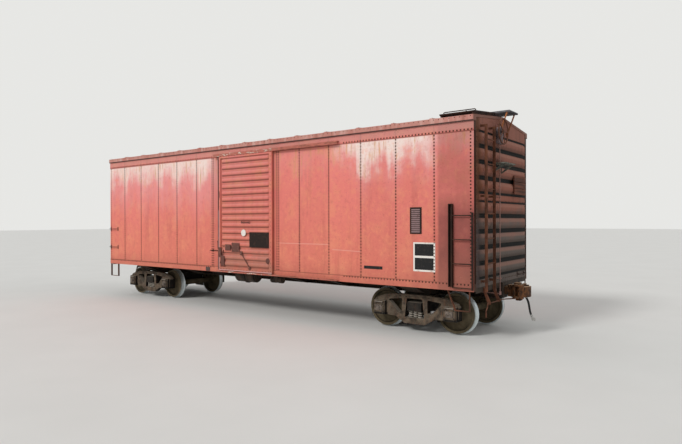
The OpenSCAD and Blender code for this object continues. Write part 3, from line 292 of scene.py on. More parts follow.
# dark, mid, dust-and-sheen (dust with a painted highlight on upward faces) and rust tones, then what differs from
# castIron's own numbers
ironLook = {
    "truckIron": ((0.007, 0.006, 0.005), (0.030, 0.024, 0.018), (0.28, 0.24, 0.19), (0.09, 0.045, 0.025),
                  {"scale": 2.2, "dustAndSheenShare": 0.8}),
    "sideFrameIron": ((0.040, 0.030, 0.021), (0.135, 0.102, 0.070), (0.34, 0.29, 0.23), (0.19, 0.085, 0.045),
                      {"rustiness": 0.6, "scale": 2.6, "dustAndSheenShare": 0.9, "hollowShade": 0.9}),
    "lidIron": ((0.05, 0.04, 0.033), (0.21, 0.175, 0.145), (0.46, 0.41, 0.34), (0.17, 0.09, 0.05),
                {"scale": 4.0, "dustAndSheenShare": 0.9, "hollowShade": 0.8}),
    "housingGrey": ((0.075, 0.055, 0.056), (0.20, 0.150, 0.155), (0.30, 0.22, 0.21), (0.17, 0.07, 0.04),
                    {"rustiness": 0.4, "scale": 2.4}),
    "couplerIron": ((0.012, 0.006, 0.003), (0.12, 0.045, 0.015), (0.46, 0.29, 0.17), (0.34, 0.14, 0.045),
                    {"scale": 5.0, "roughness": 0.62, "dustAndSheenShare": 0.8}),
    "rustyIron": ((0.055, 0.020, 0.010), (0.145, 0.050, 0.025), (0.24, 0.11, 0.07), (0.24, 0.085, 0.032),
                  {"scale": 1.6}),
    "darkRust": ((0.012, 0.006, 0.004), (0.040, 0.017, 0.010), (0.13, 0.06, 0.04), (0.10, 0.036, 0.018),
                 {"rustiness": 0.4, "scale": 1.6}),
    "underframeIron": ((0.018, 0.014, 0.011), (0.05, 0.036, 0.026), (0.12, 0.09, 0.07), (0.10, 0.045, 0.022),
                       {"rustiness": 0.6}),
    "brakeIron": ((0.03, 0.024, 0.019), (0.075, 0.055, 0.042), (0.17, 0.14, 0.11), (0.14, 0.06, 0.03), {}),
    "gratingSteel": ((0.07, 0.07, 0.075), (0.19, 0.187, 0.195), (0.34, 0.33, 0.32), (0.17, 0.08, 0.04),
                     {"rustiness": 0.35, "scale": 1.2}),
    "stepSteel": ((0.07, 0.075, 0.062), (0.17, 0.175, 0.150), (0.28, 0.28, 0.24), (0.22, 0.08, 0.035),
                  {"rustiness": 0.4, "scale": 2.2}),
    "strapRust": ((0.17, 0.050, 0.016), (0.42, 0.145, 0.045), (0.50, 0.24, 0.12), (0.52, 0.20, 0.07),
                  {"rustiness": 0.6, "scale": 2.6}),
    "boltIron": ((0.040, 0.015, 0.009), (0.095, 0.036, 0.022), (0.16, 0.07, 0.05), (0.12, 0.045, 0.02),
                 {"rustiness": 0.4, "scale": 2.0}),
    "hoseMetal": ((0.34, 0.33, 0.31), (0.50, 0.49, 0.46), (0.6, 0.58, 0.54), (0.20, 0.13, 0.09),
                  {"rustiness": 0.35, "scale": 2.5, "roughness": 0.42, "metallic": 0.7})}


def castIron(name, dark, mid, dustAndSheen, rust, rustiness=0.5, scale=1.0, roughness=0.7, metallic=0.0, dustAndSheenShare=0.5,
             hollowShade=0.0):
    shader, w, place, x, y, z = startFinish(name, roughness, metallic)
    patches = w.noise(place, 3.2 * scale, 5, 0.65)
    grain = w.noise(place, 42.0 * scale, 4, 0.7)
    runs = w.noise(place, 1.0, 4, 0.6, (18.0 * scale, 18.0 * scale, 2.0 * scale))
    colour = w.mix(patches.rise(0.35, 0.65), dark, mid)
    colour = w.mix(runs.rise(0.50, 0.72) * rustiness, colour, rust)
    # upward faces lighter: dust, and a painted highlight from above
    colour = w.mix(surfaceAim(w, 2).rise(0.2, 0.9) * dustAndSheenShare * (0.4 + grain), colour, dustAndSheen)
    colour = w.mix(grain.rise(0.62, 0.74) * 0.35, colour, rust)
    if hollowShade:  # painted shade, near black, on the cheeks of the windows, on undersides and at the feet of the journal boxes
        cheekShade = abs(surfaceAim(w, 1)).rise(0.85, 0.45) * surfaceAim(w, 2).rise(0.55, 0.2)
        colour = w.mix(cheekShade * hollowShade, colour, (0.004, 0.003, 0.003))
        fromAxle = abs(abs(abs(x) - truckLook["centreX"]) - truckLook["axleX"])
        boxFootShadow = fromAxle.rise(0.20, 0.16) * (z - railTop).rise(0.36, 0.32)
        colour = w.mix(boxFootShadow * hollowShade, colour, (0.006, 0.005, 0.004))
    feed(shader, "Base Color", colour)
    feed(shader, "Roughness", (roughness - 0.12) + 0.3 * grain)
    bump(shader, w, grain + patches * 0.6, 0.35, 0.004)


for name, (dark, mid, dustAndSheen, rust, rest) in ironLook.items():
    castIron(name, dark, mid, dustAndSheen, rust, **rest)

springLook = {"gap": (0.006, 0.005, 0.004), "dark": (0.26, 0.23, 0.19), "bare": (0.46, 0.42, 0.36),
              "coilPitch": 0.046, "coilLean": 0.12}


def springSteel(name):
    shader, w, place, x, y, z = startFinish(name, 0.6)
    grain = w.noise(place, 60.0, 4, 0.7)
    coil = w.math("FRACT", (z + x * springLook["coilLean"]) / springLook["coilPitch"])
    # painted shade in the gaps between the coils, near black
    gap = w.math("MINIMUM", coil, 1.0 - coil).rise(0.26, 0.14)
    colour = w.mix(grain.rise(0.35, 0.7), springLook["dark"], springLook["bare"])
    colour = w.mix(gap * 0.95, colour, springLook["gap"])
    feed(shader, "Base Color", colour)
    feed(shader, "Roughness", 0.5 + 0.3 * grain)
    bump(shader, w, grain * 0.3 - gap, 0.5, 0.004)


springSteel("springSteel")

roofLook = {"paint": (0.46, 0.175, 0.140), "pale": (0.54, 0.26, 0.215), "chalk": (0.66, 0.44, 0.38),
            "deep": (0.24, 0.09, 0.06), "eaveShadow": (0.02, 0.012, 0.01), "end": (0.17, 0.08, 0.058),
            "speck": (0.11, 0.05, 0.03), "eaveZ": 4.214, "ridge": 4.486, "foot": 4.326, "halfWidth": 1.515,
            "panel": 0.89, "firstCap": -6.23, "capHeight": 0.022}


def roofPaint(name):
    look = roofLook
    shader, w, place, x, y, z = startFinish(name, 0.75)
    cloud = w.noise(place, 1.4, 5, 0.6)
    runs = w.noise(place, 1.0, 5, 0.6, (8.0, 0.8, 0.8))
    fine = w.noise(place, 34.0, 4, 0.7)
    colour = w.mix(cloud.rise(0.3, 0.7), look["paint"], look["pale"])
    colour = w.mix(runs.rise(0.5, 0.68) * 0.55, colour, look["chalk"])
    colour = w.mix(runs.rise(0.46, 0.30) * 0.55, colour, look["deep"])
    # painted shadow along the roof's lower edge, under the overhang
    colour = w.mix(abs(z - railTop - look["eaveZ"]).rise(0.022, 0.012) * 0.9, colour, look["eaveShadow"])
    colour = w.mix(abs(x).rise(6.225, 6.238) * 0.85, colour, look["end"])
    colour = w.mix(fine.rise(0.66, 0.74) * 0.6, colour, look["speck"])
    feed(shader, "Base Color", colour)
    feed(shader, "Roughness", 0.62 + 0.25 * fine)
    bump(shader, w, fine + cloud, 0.25, 0.005)


roofPaint("fadedRoofPaint")

trackLook = {"paint": (0.50, 0.15, 0.11), "deep": (0.22, 0.08, 0.05), "worn": (0.72, 0.58, 0.48),
             "speck": (0.08, 0.035, 0.02)}


def trackPaint(name):
    look = trackLook
    shader, w, place, x, y, z = startFinish(name, 0.75)
    fine = w.noise(place, 40.0, 4, 0.7)
    spots = w.noise(place, 1.0, 5, 0.7, (9.0, 20.0, 30.0))
    colour = w.mix(spots.rise(0.38, 0.66), look["paint"], look["deep"])
    # pale patches near the door: wear, and a painted highlight along the track
    colour = w.mix(spots.rise(0.53, 0.60) * abs(x).rise(1.4, 0.7), colour, look["worn"])
    colour = w.mix(fine.rise(0.62, 0.72) * 0.6, colour, look["speck"])
    feed(shader, "Base Color", colour)
    feed(shader, "Roughness", 0.6 + 0.3 * fine)
    bump(shader, w, fine + spots, 0.3, 0.004)


trackPaint("trackPaintWornAndLit")

wheelLook = {"dark": (0.058, 0.045, 0.024), "mid": (0.115, 0.088, 0.050), "ring": (0.015, 0.012, 0.008),
             "speck": (0.14, 0.10, 0.065), "tread": (0.66, 0.72, 0.73), "ringRadius": 0.352, "treadFrom": 0.411}


def wheelSteel(name):
    shader, w, place, x, y, z = startFinish(name, 0.6)
    look = wheelLook
    across = abs(abs(x) - truckLook["centreX"]) - truckLook["axleX"]
    up = z - truckLook["axleZ"]
    radius = w.math("SQRT", across * across + up * up)
    grain = w.noise(place, 30.0, 4, 0.7)
    patches = w.noise(place, 4.0, 4, 0.6)
    colour = w.mix(patches.rise(0.35, 0.65), look["dark"], look["mid"])
    colour = w.mix(abs(radius - look["ringRadius"]).rise(0.012, 0.004) * 0.5, colour, look["ring"])
    colour = w.mix(grain.rise(0.6, 0.72) * 0.4, colour, look["speck"])
    tread = radius.rise(look["treadFrom"], look["treadFrom"] + 0.006)
    colour = w.mix(tread, colour, look["tread"])
    feed(shader, "Base Color", colour)
    feed(shader, "Metallic", tread * 0.55)
    feed(shader, "Roughness", 0.78 - tread * 0.45 + 0.12 * (grain - 0.5))
    bump(shader, w, grain, 0.3, 0.003)


wheelSteel("wheelSteel")

boardWidth = 0.133


def woodFinish(name, tone, dark):  # boards that run from side to side
    shader, w, place, x, y, z = startFinish(name, 0.8)
    grain = w.noise(place, 1.0, 6, 0.65, (26.0, 1.2, 26.0))
    board = w.math("FRACT", x / boardWidth)
    gap = w.math("MINIMUM", board, 1.0 - board).rise(0.05, 0.0)
    colour = w.mix(grain.rise(0.35, 0.7), dark, tone)
    colour = w.mix(gap * 0.85, colour, (0.012, 0.008, 0.005))
    feed(shader, "Base Color", colour)
    feed(shader, "Roughness", 0.7 + 0.2 * grain)
    bump(shader, w, grain - gap * 2.0, 0.4, 0.004)


woodFinish("deckWood", (0.26, 0.17, 0.10), (0.10, 0.06, 0.035))
woodFinish("boardWood", (0.17, 0.055, 0.03), (0.06, 0.022, 0.013))


def rubberFinish(name):
    shader, w, place, x, y, z = startFinish(name, 0.62)
    grain = w.noise(place, 60.0, 4, 0.7)
    wrap = w.noise(place, 1.0, 3, 0.5, (20.0, 20.0, 160.0))
    colour = w.mix(grain.rise(0.4, 0.7), (0.012, 0.012, 0.013), (0.035, 0.034, 0.033))
    colour = w.mix(wrap.rise(0.55, 0.7) * 0.4, colour, (0.06, 0.055, 0.05))
    feed(shader, "Base Color", colour)
    feed(shader, "Roughness", 0.5 + 0.3 * grain)
    bump(shader, w, grain + wrap, 0.35, 0.003)


rubberFinish("hoseRubber")


def plainTone(name, tone, worn, roughness=0.6, scale=14.0):
    shader, w, place, x, y, z = startFinish(name, roughness)
    patches = w.noise(place, scale, 5, 0.65)
    fine = w.noise(place, scale * 5, 3, 0.7)
    colour = w.mix(patches.rise(0.52, 0.72) * 0.7, tone, worn)
    colour = w.mix(fine.rise(0.62, 0.72) * 0.4, colour, worn)
    feed(shader, "Base Color", colour)
    feed(shader, "Roughness", (roughness - 0.1) + 0.3 * fine)
    bump(shader, w, fine, 0.2, 0.002)


plainTone("tackBoardBlack", (0.022, 0.014, 0.011), (0.10, 0.05, 0.035), 0.8)
plainTone("plateBlack", (0.012, 0.012, 0.012), (0.05, 0.04, 0.035), 0.6)
plainTone("plateWhite", (0.78, 0.74, 0.68), (0.50, 0.33, 0.27), 0.6, 9.0)
plainTone("dullPlate", (0.13, 0.052, 0.040), (0.34, 0.16, 0.12), 0.7, 22.0)
plainTone("edgePink", (0.62, 0.34, 0.32), (0.34, 0.10, 0.08), 0.7, 6.0)
plainTone("rodPaint", (0.34, 0.19, 0.16), (0.08, 0.035, 0.025), 0.7, 8.0)
plainTone("greyPad", (0.090, 0.060, 0.052), (0.17, 0.11, 0.095), 0.7)
plainTone("stripeMauve", (0.27, 0.17, 0.17), (0.10, 0.05, 0.05), 0.6)
print("finishes made:", len(finishes))

# carried-over nodes take their finishes

nodeFinish = {
    "fadedSidePaint": ["right_side_wall", "left_side_wall"],
    "fadedDoorPaint": ["right_door", "left_door"],
    "grimyEndPaint": ["brake_end_wall", "plain_end_wall"],
    "fadedRoofPaint": ["roof"],
    "trackPaintWornAndLit": ["right_door_tracks", "left_door_tracks"],
    "deckWood": ["floor"],
    "gratingSteel": ["running_board", "corner_boards"],
    "underframeIron": ["centre_sill", "body_bolsters", "crossbearers", "floor_stringers", "end_sills",
                       "brake_levers", "train_pipe"],
    "rustyIron": ["end_ladders", "sill_steps", "hand_brake_wheel", "uncoupling_levers"],
    "stepSteel": ["brake_step"],
    "housingGrey": ["hand_brake_housing"],
    "rodPaint": ["hand_brake_rod"],
    "darkRust": ["side_ladders", "grab_irons"],
    "couplerIron": ["brake_end_coupler", "plain_end_coupler", "coupler_knuckles"],
    "brakeIron": ["brake_cylinder", "air_reservoir", "control_valve"],
    "hoseRubber": ["brake_end_hose", "plain_end_hose"],
    "hoseMetal": ["brake_end_hose_coupling", "plain_end_hose_coupling"],
}
for truck in ("brake_truck_", "plain_truck_"):
    nodeFinish.setdefault("truckIron", []).extend([truck + "bolster", truck + "brake_beams"])
    nodeFinish.setdefault("sideFrameIron", []).append(truck + "side_frames")
    nodeFinish.setdefault("springSteel", []).append(truck + "springs")
    nodeFinish.setdefault("wheelSteel", []).extend([truck + "outer_wheelset", truck + "inner_wheelset"])
for finish, names in nodeFinish.items():
    for name in names:
        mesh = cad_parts[name].data
        mesh.materials.clear()
        mesh.materials.append(finishes[finish])
print("nodes finished:", sum(len(n) for n in nodeFinish.values()), "of", len(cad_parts))


# making pieces

def show(name, mesh, body, finish=None, smooth=False):
    piece = bpy.data.objects.new(name, mesh)
    scene.collection.objects.link(piece)
    if finish:
        mesh.materials.clear()
        mesh.materials.append(finishes[finish])
    if smooth:
        mesh.shade_smooth()
    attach(piece, body)
    return piece


def blockInto(form, low, high):
    size = [b - a for a, b in zip(low, high)]
    middle = [(a + b) / 2 for a, b in zip(low, high)]
    grown = Matrix.Translation(middle) @ Matrix.Diagonal((*size, 1.0))
    return bmesh.ops.create_cube(form, size=1.0, matrix=grown)["verts"]


def rodInto(form, start, end, radius, sides=10):
    start, end = Vector(start), Vector(end)
    run = end - start
    aim = run.to_track_quat("Z", "Y").to_matrix().to_4x4()
    bmesh.ops.create_cone(form, cap_ends=True, segments=sides, radius1=radius, radius2=radius, depth=run.length,
                          matrix=Matrix.Translation((start + end) / 2) @ aim)


def formMesh(name, form, bevel=0.0):
    if bevel:
        edges = [e for e in form.edges if e.is_manifold and e.calc_face_angle(0) > 0.6]
        bmesh.ops.bevel(form, geom=edges, offset=bevel, segments=2, affect="EDGES", clamp_overlap=True)
    bmesh.ops.recalc_face_normals(form, faces=form.faces)
    mesh = bpy.data.meshes.new(name)
    form.to_mesh(mesh)
    form.free()
    return mesh


halfTurn = Matrix.Rotation(math.pi, 4, "Z")


def showPair(part, mesh, finish, sides=("left_", "right_"), bodies=("car_body", "car_body")):
    twin = mesh.copy()  # the same piece for the other side or end, half a turn about the middle
    twin.transform(halfTurn)
    for side, shape, body in zip(sides, (twin, mesh), bodies):
        show(side + part, shape, body, finish)


# shapes set on a list of points, by trees that share their start and their end

def startTree(name, sizes):  # named inputs for its sizes, and one for its finish
    tree = bpy.data.node_groups.new(name, "GeometryNodeTree")
    ins = [("Geometry", "Geometry"), *sizes, ("Finish", "Material")]
    for label, kind in ins:
        tree.interface.new_socket(label, in_out="INPUT", socket_type="NodeSocket" + kind)
    tree.interface.new_socket("Geometry", in_out="OUTPUT", socket_type="NodeSocketGeometry")
    return tree, tree.nodes.new, tree.links.new, tree.nodes.new("NodeGroupInput")


def readVector(add, name):
    read = add("GeometryNodeInputNamedAttribute")
    read.data_type = "FLOAT_VECTOR"
    read.inputs["Name"].default_value = name
    return read.outputs["Attribute"]


def endTree(add, link, given, shape, rotation):
    stand, real = add("GeometryNodeInstanceOnPoints"), add("GeometryNodeRealizeInstances")
    paint, result = add("GeometryNodeSetMaterial"), add("NodeGroupOutput")
    link(given.outputs["Geometry"], stand.inputs["Points"])
    link(shape.outputs["Mesh"], stand.inputs["Instance"])
    link(rotation, stand.inputs["Rotation"])
    link(stand.outputs["Instances"], real.inputs["Geometry"])
    link(real.outputs["Geometry"], paint.inputs["Geometry"])
    link(given.outputs["Finish"], paint.inputs["Material"])
    link(paint.outputs["Geometry"], result.inputs[0])
    return stand


def meshOnPoints(name, tree, places, vectors, values):
    mesh = bpy.data.meshes.new(name + "Points")
    mesh.from_pydata(places, [], [])
    for key, column in vectors.items():
        stored = mesh.attributes.new(key, "FLOAT_VECTOR", "POINT")
        for i, vector in enumerate(column):
            stored.data[i].vector = vector
    holder = bpy.data.objects.new(name + "Holder", mesh)
    scene.collection.objects.link(holder)
    modifier = holder.modifiers.new(tree.name, "NODES")
    modifier.node_group = tree
    ids = {item.name: item.identifier for item in tree.interface.items_tree if item.in_out == "INPUT"}
    for key, value in values.items():
        modifier[ids[key]] = value
    made = bpy.data.meshes.new_from_object(holder.evaluated_get(bpy.context.evaluated_depsgraph_get()))
    bpy.data.objects.remove(holder)
    made.name = name
    return made


# studs: rivets, bolts and nuts

studLook = {"rivetRadius": 0.018, "rivetHeight": 0.008, "crown": 0.55}


def studTree():
    tree, add, link, given = startTree("studsOnPoints", [("Radius", "Float"), ("Height", "Float"),
                                                         ("Crown", "Float"), ("Sides", "Int")])
    head, crown = add("GeometryNodeMeshCone"), add("ShaderNodeMath")
    crown.operation = "MULTIPLY"
    link(given.outputs["Radius"], crown.inputs[0])
    link(given.outputs["Crown"], crown.inputs[1])
    link(given.outputs["Sides"], head.inputs["Vertices"])
    link(crown.outputs[0], head.inputs["Radius Top"])
    link(given.outputs["Radius"], head.inputs["Radius Bottom"])
    link(given.outputs["Height"], head.inputs["Depth"])
    aim = add("FunctionNodeAlignRotationToVector")
    aim.axis = "Z"
    link(readVector(add, "facing"), aim.inputs["Vector"])
    endTree(add, link, given, head, aim.outputs["Rotation"])
    return tree


studs = studTree()


def putStuds(name, spots, body, finish="boltIron", radius=studLook["rivetRadius"],
             height=studLook["rivetHeight"], sides=8, crown=studLook["crown"]):  # spots are (place, facing)
    places, facings = zip(*spots)
    made = meshOnPoints(name, studs, places, {"facing": facings},
                        {"Radius": radius, "Height": height, "Crown": crown, "Sides": sides,
                         "Finish": finishes[finish]})
    show(name, made, body)


def spaced(low, high, pitch):
    count = max(1, round((high - low) / pitch))
    return [low + (high - low) * i / count for i in range(count + 1)]


# rivets of the sides

seamLook = {"pitch": 0.066, "xs": [1.88 + 0.88 * i for i in range(5)], "low": 1.155, "high": 4.00,
            "posts": ((-1.18, -0.06), (1.15, 0.06)), "postPitch": 0.062, "cornerX": 6.165, "panelY": 1.480,
            "bandY": 1.486, "bandEnd": 6.19, "bandPitch": 0.075,
            "bands": ((1.105, -1.1, 3.16), (4.055, -1.2, 3.16))}  # height, and where the door's tracks lie over it


def sideSpots(out):  # out is -1 on the right side, 1 on the left
    look = seamLook
    spots = []

    def upright(x, pitch):
        for z in spaced(look["low"], look["high"], pitch):
            spots.append(((-out * x, out * look["panelY"], z + railTop), (0, out, 0)))

    for x in [s * x for x in look["xs"] for s in (-1, 1)] + [look["cornerX"], -look["cornerX"]]:
        upright(x, look["pitch"])
    for x, step in look["posts"]:
        upright(x, look["postPitch"])
        upright(x + step, look["postPitch"])
    for z, trackFrom, trackTo in look["bands"]:
        for x in spaced(-look["bandEnd"], look["bandEnd"], look["bandPitch"]):
            if not trackFrom < x < trackTo:
                spots.append(((-out * x, out * look["bandY"], z + railTop), (0, out, 0)))
    return spots


putStuds("rivets_right_side", sideSpots(-1), "car_body")
putStuds("rivets_left_side", sideSpots(1), "car_body")


endSeamLook = {"sheetX": 6.2302, "edgeY": 1.355, "rowY": 1.30, "low": 1.18, "high": 4.10,
               "rows": ((6.236, 2.728), (6.2302, 1.12)), "pitch": 0.09}


def endSpots():
    look = endSeamLook
    spots = []
    for out in (-1, 1):
        for y in (-look["edgeY"], look["edgeY"]):
            for z in spaced(look["low"], look["high"], look["pitch"]):
                spots.append(((out * look["sheetX"], y, z + railTop), (out, 0, 0)))
        for x, z in look["rows"]:
            for y in spaced(-look["rowY"], look["rowY"], look["pitch"]):
                spots.append(((out * x, y, z + railTop), (out, 0, 0)))
    return spots


putStuds("rivets_ends", endSpots(), "car_body", radius=0.011)


def roofSpots():
    look = roofLook
    spots = []
    slope = (look["ridge"] - look["foot"]) / look["halfWidth"]
    for i in range(15):
        x = look["firstCap"] + look["panel"] * i
        for out in (-1, 1):
            for y in spaced(0.30, 1.44, 0.19):
                z = look["ridge"] + look["capHeight"] - slope * y + railTop
                spots.append(((min(max(x, -6.19), 6.19), out * y, z), (0, out * slope, 1)))
    for out in (-1, 1):
        for x in spaced(-6.18, 6.18, 0.11):
            spots.append(((x, out * look["halfWidth"], 4.30 + railTop), (0, out, 0)))
    return spots


putStuds("bolts_roof", roofSpots(), "car_body", radius=0.010, height=0.006)
print("rivets set")

# doors: hardware on the right door, turned half round for the left

doorLook = {"face": -1.554, "shift": 0.065, "battens": (1.70, 1.79, 1.88, 1.97), "disc": 0.086, "boss": 0.072,
            "rivetsX": (-0.865, 1.005), "rivetsZ": (1.085, 4.028)}


def doorPieces():
    made = {}
    y, r, across = doorLook["face"], railTop, doorLook["shift"]

    def plate(form, x0, x1, z0, z1, proud):
        blockInto(form, (x0 + across, y - proud, z0 + r), (x1 + across, y + 0.004, z1 + r))

    form = bmesh.new()
    plate(form, 0.214, 0.894, 1.667, 2.049, 0.010)
    for z in doorLook["battens"]:
        plate(form, 0.222, 0.886, z, z + 0.006, 0.0125)
    made["tack_board", "tackBoardBlack", "door_paint"] = formMesh("doorTackBoard", form, 0.003)
    form = bmesh.new()
    plate(form, -0.698, -0.489, 1.567, 1.722, 0.008)
    plate(form, -0.450, -0.156, 1.538, 1.766, 0.008)
    made["small_boards", "dullPlate", "door_paint"] = formMesh("doorSmallBoards", form, 0.003)
    form = bmesh.new()
    turned = Matrix.Translation((-0.005 + across, y - 0.004, 2.030 + r)) @ Matrix.Rotation(math.pi / 2, 4, "X")
    radius = doorLook["disc"]
    bmesh.ops.create_cone(form, cap_ends=True, segments=40, radius1=radius, radius2=radius - 0.004, depth=0.008,
                          matrix=turned)
    made["blank_disc", "plateWhite", "door_paint"] = formMesh("doorDisc", form)
    form = bmesh.new()
    plate(form, -0.093, 0.204, 2.290, 2.312, 0.012)
    for x in (-0.09, 0.19):
        plate(form, x, x + 0.02, 2.270, 2.332, 0.006)
    # the closing lever, in its two keepers
    rodInto(form, (-0.093 + across, y - 0.001, 1.510 + r), (0.217 + across, y - 0.001, 1.138 + r), 0.012)
    plate(form, -0.13, -0.05, 1.46, 1.56, 0.012)
    plate(form, 0.18, 0.25, 1.10, 1.17, 0.012)
    made["lever_iron", "dullPlate", "rusty_iron"] = formMesh("doorLever", form, 0.002)
    # the latch on the front edge, and the round boss low on the back edge
    form = bmesh.new()
    blockInto(form, (-0.905, y - 0.012, 1.38 + r), (-0.79, y + 0.004, 1.64 + r))
    blockInto(form, (-0.80, y - 0.010, 1.16 + r), (-0.66, y + 0.004, 1.42 + r))
    rodInto(form, (-0.83, y - 0.001, 1.22 + r), (-0.70, y - 0.001, 1.58 + r), 0.012)
    rodInto(form, (-0.89, y - 0.001, 1.50 + r), (-0.89, y - 0.001, 1.92 + r), 0.011)
    blockInto(form, (-0.90, y - 0.012, 2.95 + r), (-0.85, y + 0.004, 3.10 + r))
    turned = Matrix.Translation((0.845 + across, y - 0.003, 1.345 + r)) @ Matrix.Rotation(math.pi / 2, 4, "X")
    radius = doorLook["boss"]
    bmesh.ops.create_cone(form, cap_ends=True, segments=24, radius1=radius, radius2=radius - 0.012, depth=0.016,
                          matrix=turned)
    made["latch_iron", "dullPlate", "rusty_iron"] = formMesh("doorLatchIron", form, 0.002)
    # a black strip on the door's front edge: the shade in the gap there, painted
    form = bmesh.new()
    blockInto(form, (-0.9095, y - 0.004, 1.06 + r), (-0.880, y + 0.004, 4.05 + r))
    made["front_edge_gap", "plateBlack", "door_paint"] = formMesh("doorEdgeShade", form)
    # pale strips down the front edge and along the foot of the door: painted highlight on those edges
    form = bmesh.new()
    blockInto(form, (-0.879, y - 0.008, 1.06 + r), (-0.856, y + 0.004, 2.62 + r))
    blockInto(form, (-0.879, y - 0.008, 1.045 + r), (1.045, y + 0.004, 1.066 + r))
    made["front_edge_strip", "edgePink", "door_paint"] = formMesh("doorEdgeHighlight", form, 0.001)
    return made


for (part, finish, slotName), mesh in doorPieces().items():
    showPair("door_" + part, mesh, finish, bodies=("left_sliding_door", "right_sliding_door"))


def doorSpots(turn):
    y = doorLook["face"] * turn
    facing = (0, -turn, 0)
    spots = []
    for z in spaced(1.10, 4.02, 0.10):
        for x in doorLook["rivetsX"]:
            spots.append(((x * turn, y, z + railTop), facing))
    for x in spaced(-0.80, 0.94, 0.11):
        for z in doorLook["rivetsZ"]:
            spots.append(((x * turn, y, z + railTop), facing))
    return spots


putStuds("right_door_rivets", doorSpots(1), "right_sliding_door", radius=0.010, height=0.005)
putStuds("left_door_rivets", doorSpots(-1), "left_sliding_door", radius=0.010, height=0.005)
print("doors fitted")

# plates on the sides, each blank

# piece, finish, bevel, then blocks of (low x, high x, low z, high z, front, back), the last two from the sheet
plateLook = {"sheetY": -1.480, "plates": [
    ("striped_plate_frame", "tackBoardBlack", 0.003, [(4.858, 5.122, 2.060, 2.597, -0.012, 0.003)]),
    ("striped_plate_bars", "stripeMauve", 0.0,
     [(4.895, 5.085, 2.090 + i * 0.0405, 2.116 + i * 0.0405, -0.0145, -0.010) for i in range(12)]),
    ("panel_plate_border", "plateWhite", 0.002, [(4.931, 5.421, 1.308, 1.892, -0.005, 0.003)]),
    ("panel_plate_blanks", "plateBlack", 0.001, [(4.966, 5.386, 1.626, 1.862, -0.008, -0.003),
                                                 (4.966, 5.386, 1.345, 1.581, -0.008, -0.003)]),
    ("dark_slot", "plateBlack", 0.003, [(3.72, 4.19, 1.300, 1.366, -0.004, 0.003)])]}
for part, finish, bevel, blocks in plateLook["plates"]:
    form, y = bmesh.new(), plateLook["sheetY"]
    for x0, x1, z0, z1, front, back in blocks:
        blockInto(form, (x0, y + front, z0 + railTop), (x1, y + back, z1 + railTop))
    showPair("side_" + part, formMesh(part, form, bevel), finish)

form = bmesh.new()
blockInto(form, (-1.485, -1.500, 0.987 + railTop), (-1.320, -1.484, 1.090 + railTop))
showPair("sill_pad", formMesh("sillPad", form, 0.004), "greyPad")

form = bmesh.new()
rodInto(form, (-1.31, -1.496, 1.545 + railTop), (-0.925, -1.496, 1.545 + railTop), 0.010)
blockInto(form, (-0.99, -1.506, 1.60 + railTop), (-0.94, -1.478, 1.78 + railTop))
rodInto(form, (-1.00, -1.496, 1.80 + railTop), (-0.94, -1.496, 1.66 + railTop), 0.012)
blockInto(form, (-1.20, -1.502, 1.52 + railTop), (-1.175, -1.478, 1.57 + railTop))
showPair("door_hook", formMesh("doorHook", form, 0.002), "darkRust")

# tack boards on the ends

tackLook = {"foot": 2.89, "pitch": 0.137, "deep": 0.128}
endsOfCar = ("plain_end_", "brake_end_")
form = bmesh.new()
for i in range(3):
    foot = tackLook["foot"] + i * tackLook["pitch"] + railTop
    blockInto(form, (6.290, 0.460, foot), (6.318, 1.178, foot + tackLook["deep"]))
for y in (0.54, 1.06):
    blockInto(form, (6.286, y, 2.90 + railTop), (6.292, y + 0.05, 3.29 + railTop))
showPair("tack_board", formMesh("endBoard", form, 0.004), "boardWood", endsOfCar)

# cast bosses over and under the coupler heads

form = bmesh.new()
blockInto(form, (6.485, -0.105, 1.010 + railTop), (6.600, 0.100, 1.046 + railTop))
blockInto(form, (6.510, -0.050, 0.680 + railTop), (6.620, 0.075, 0.742 + railTop))
rodInto(form, (6.565, -0.075, 0.700 + railTop), (6.565, 0.100, 0.700 + railTop), 0.018, 12)
blockInto(form, (6.620, 0.020, 1.010 + railTop), (6.700, 0.110, 1.030 + railTop))
showPair("coupler_bosses", formMesh("couplerBosses", form, 0.008), "couplerIron", endsOfCar)

# bars: gratings laid on a list of middles

def barTree():
    tree, add, link, given = startTree("barsOnPoints", [("Size", "Float")])
    bar, grown = add("GeometryNodeMeshCube"), add("ShaderNodeVectorMath")
    grown.operation = "SCALE"
    link(readVector(add, "span"), grown.inputs[0])
    link(given.outputs["Size"], grown.inputs["Scale"])
    stand = endTree(add, link, given, bar, readVector(add, "lean"))
    link(grown.outputs[0], stand.inputs["Scale"])
    return tree


barsOnPoints = barTree()


def barMesh(name, bars, finish):  # bars are (middle, span, lean)
    middles, spans, leans = zip(*bars)
    return meshOnPoints(name, barsOnPoints, middles, {"span": spans, "lean": leans},
                        {"Size": 1.0, "Finish": finishes[finish]})


boardLook = {"endX": 6.470, "halfWidth": 0.250, "under": 4.544, "top": 4.578, "bars": 12, "rungPitch": 0.062,
             "slope": 0.1056, "ridge": 4.486, "panel": 0.89}


def runningBoard():
    look = boardLook
    middleZ = (look["under"] + look["top"]) / 2 + railTop
    deep = look["top"] - look["under"]
    bars = []
    for y in [(2 * i / look["bars"] - 1) * (look["halfWidth"] - 0.004) for i in range(look["bars"] + 1)]:
        wide = 0.008 if abs(y) > 0.24 else 0.005
        bars.append(((0, y, middleZ), (2 * look["endX"], wide, deep), (0, 0, 0)))
    for x in spaced(-look["endX"] + 0.005, look["endX"] - 0.005, look["rungPitch"]):
        bars.append(((x, 0, middleZ + 0.006), (0.008, 2 * look["halfWidth"] - 0.002, deep - 0.014), (0, 0, 0)))
    low = look["ridge"] + 0.023
    for i in range(1, 14, 2):  # saddles over every other roof cap
        x = -6.230 + i * look["panel"]
        for side in (-1, 1):
            bars.append(((x, side * 0.12, (low - 0.012 + look["under"]) / 2 + railTop),
                         (0.044, 0.24, look["under"] - low + 0.004), (-side * 0.10, 0, 0)))
    return bars


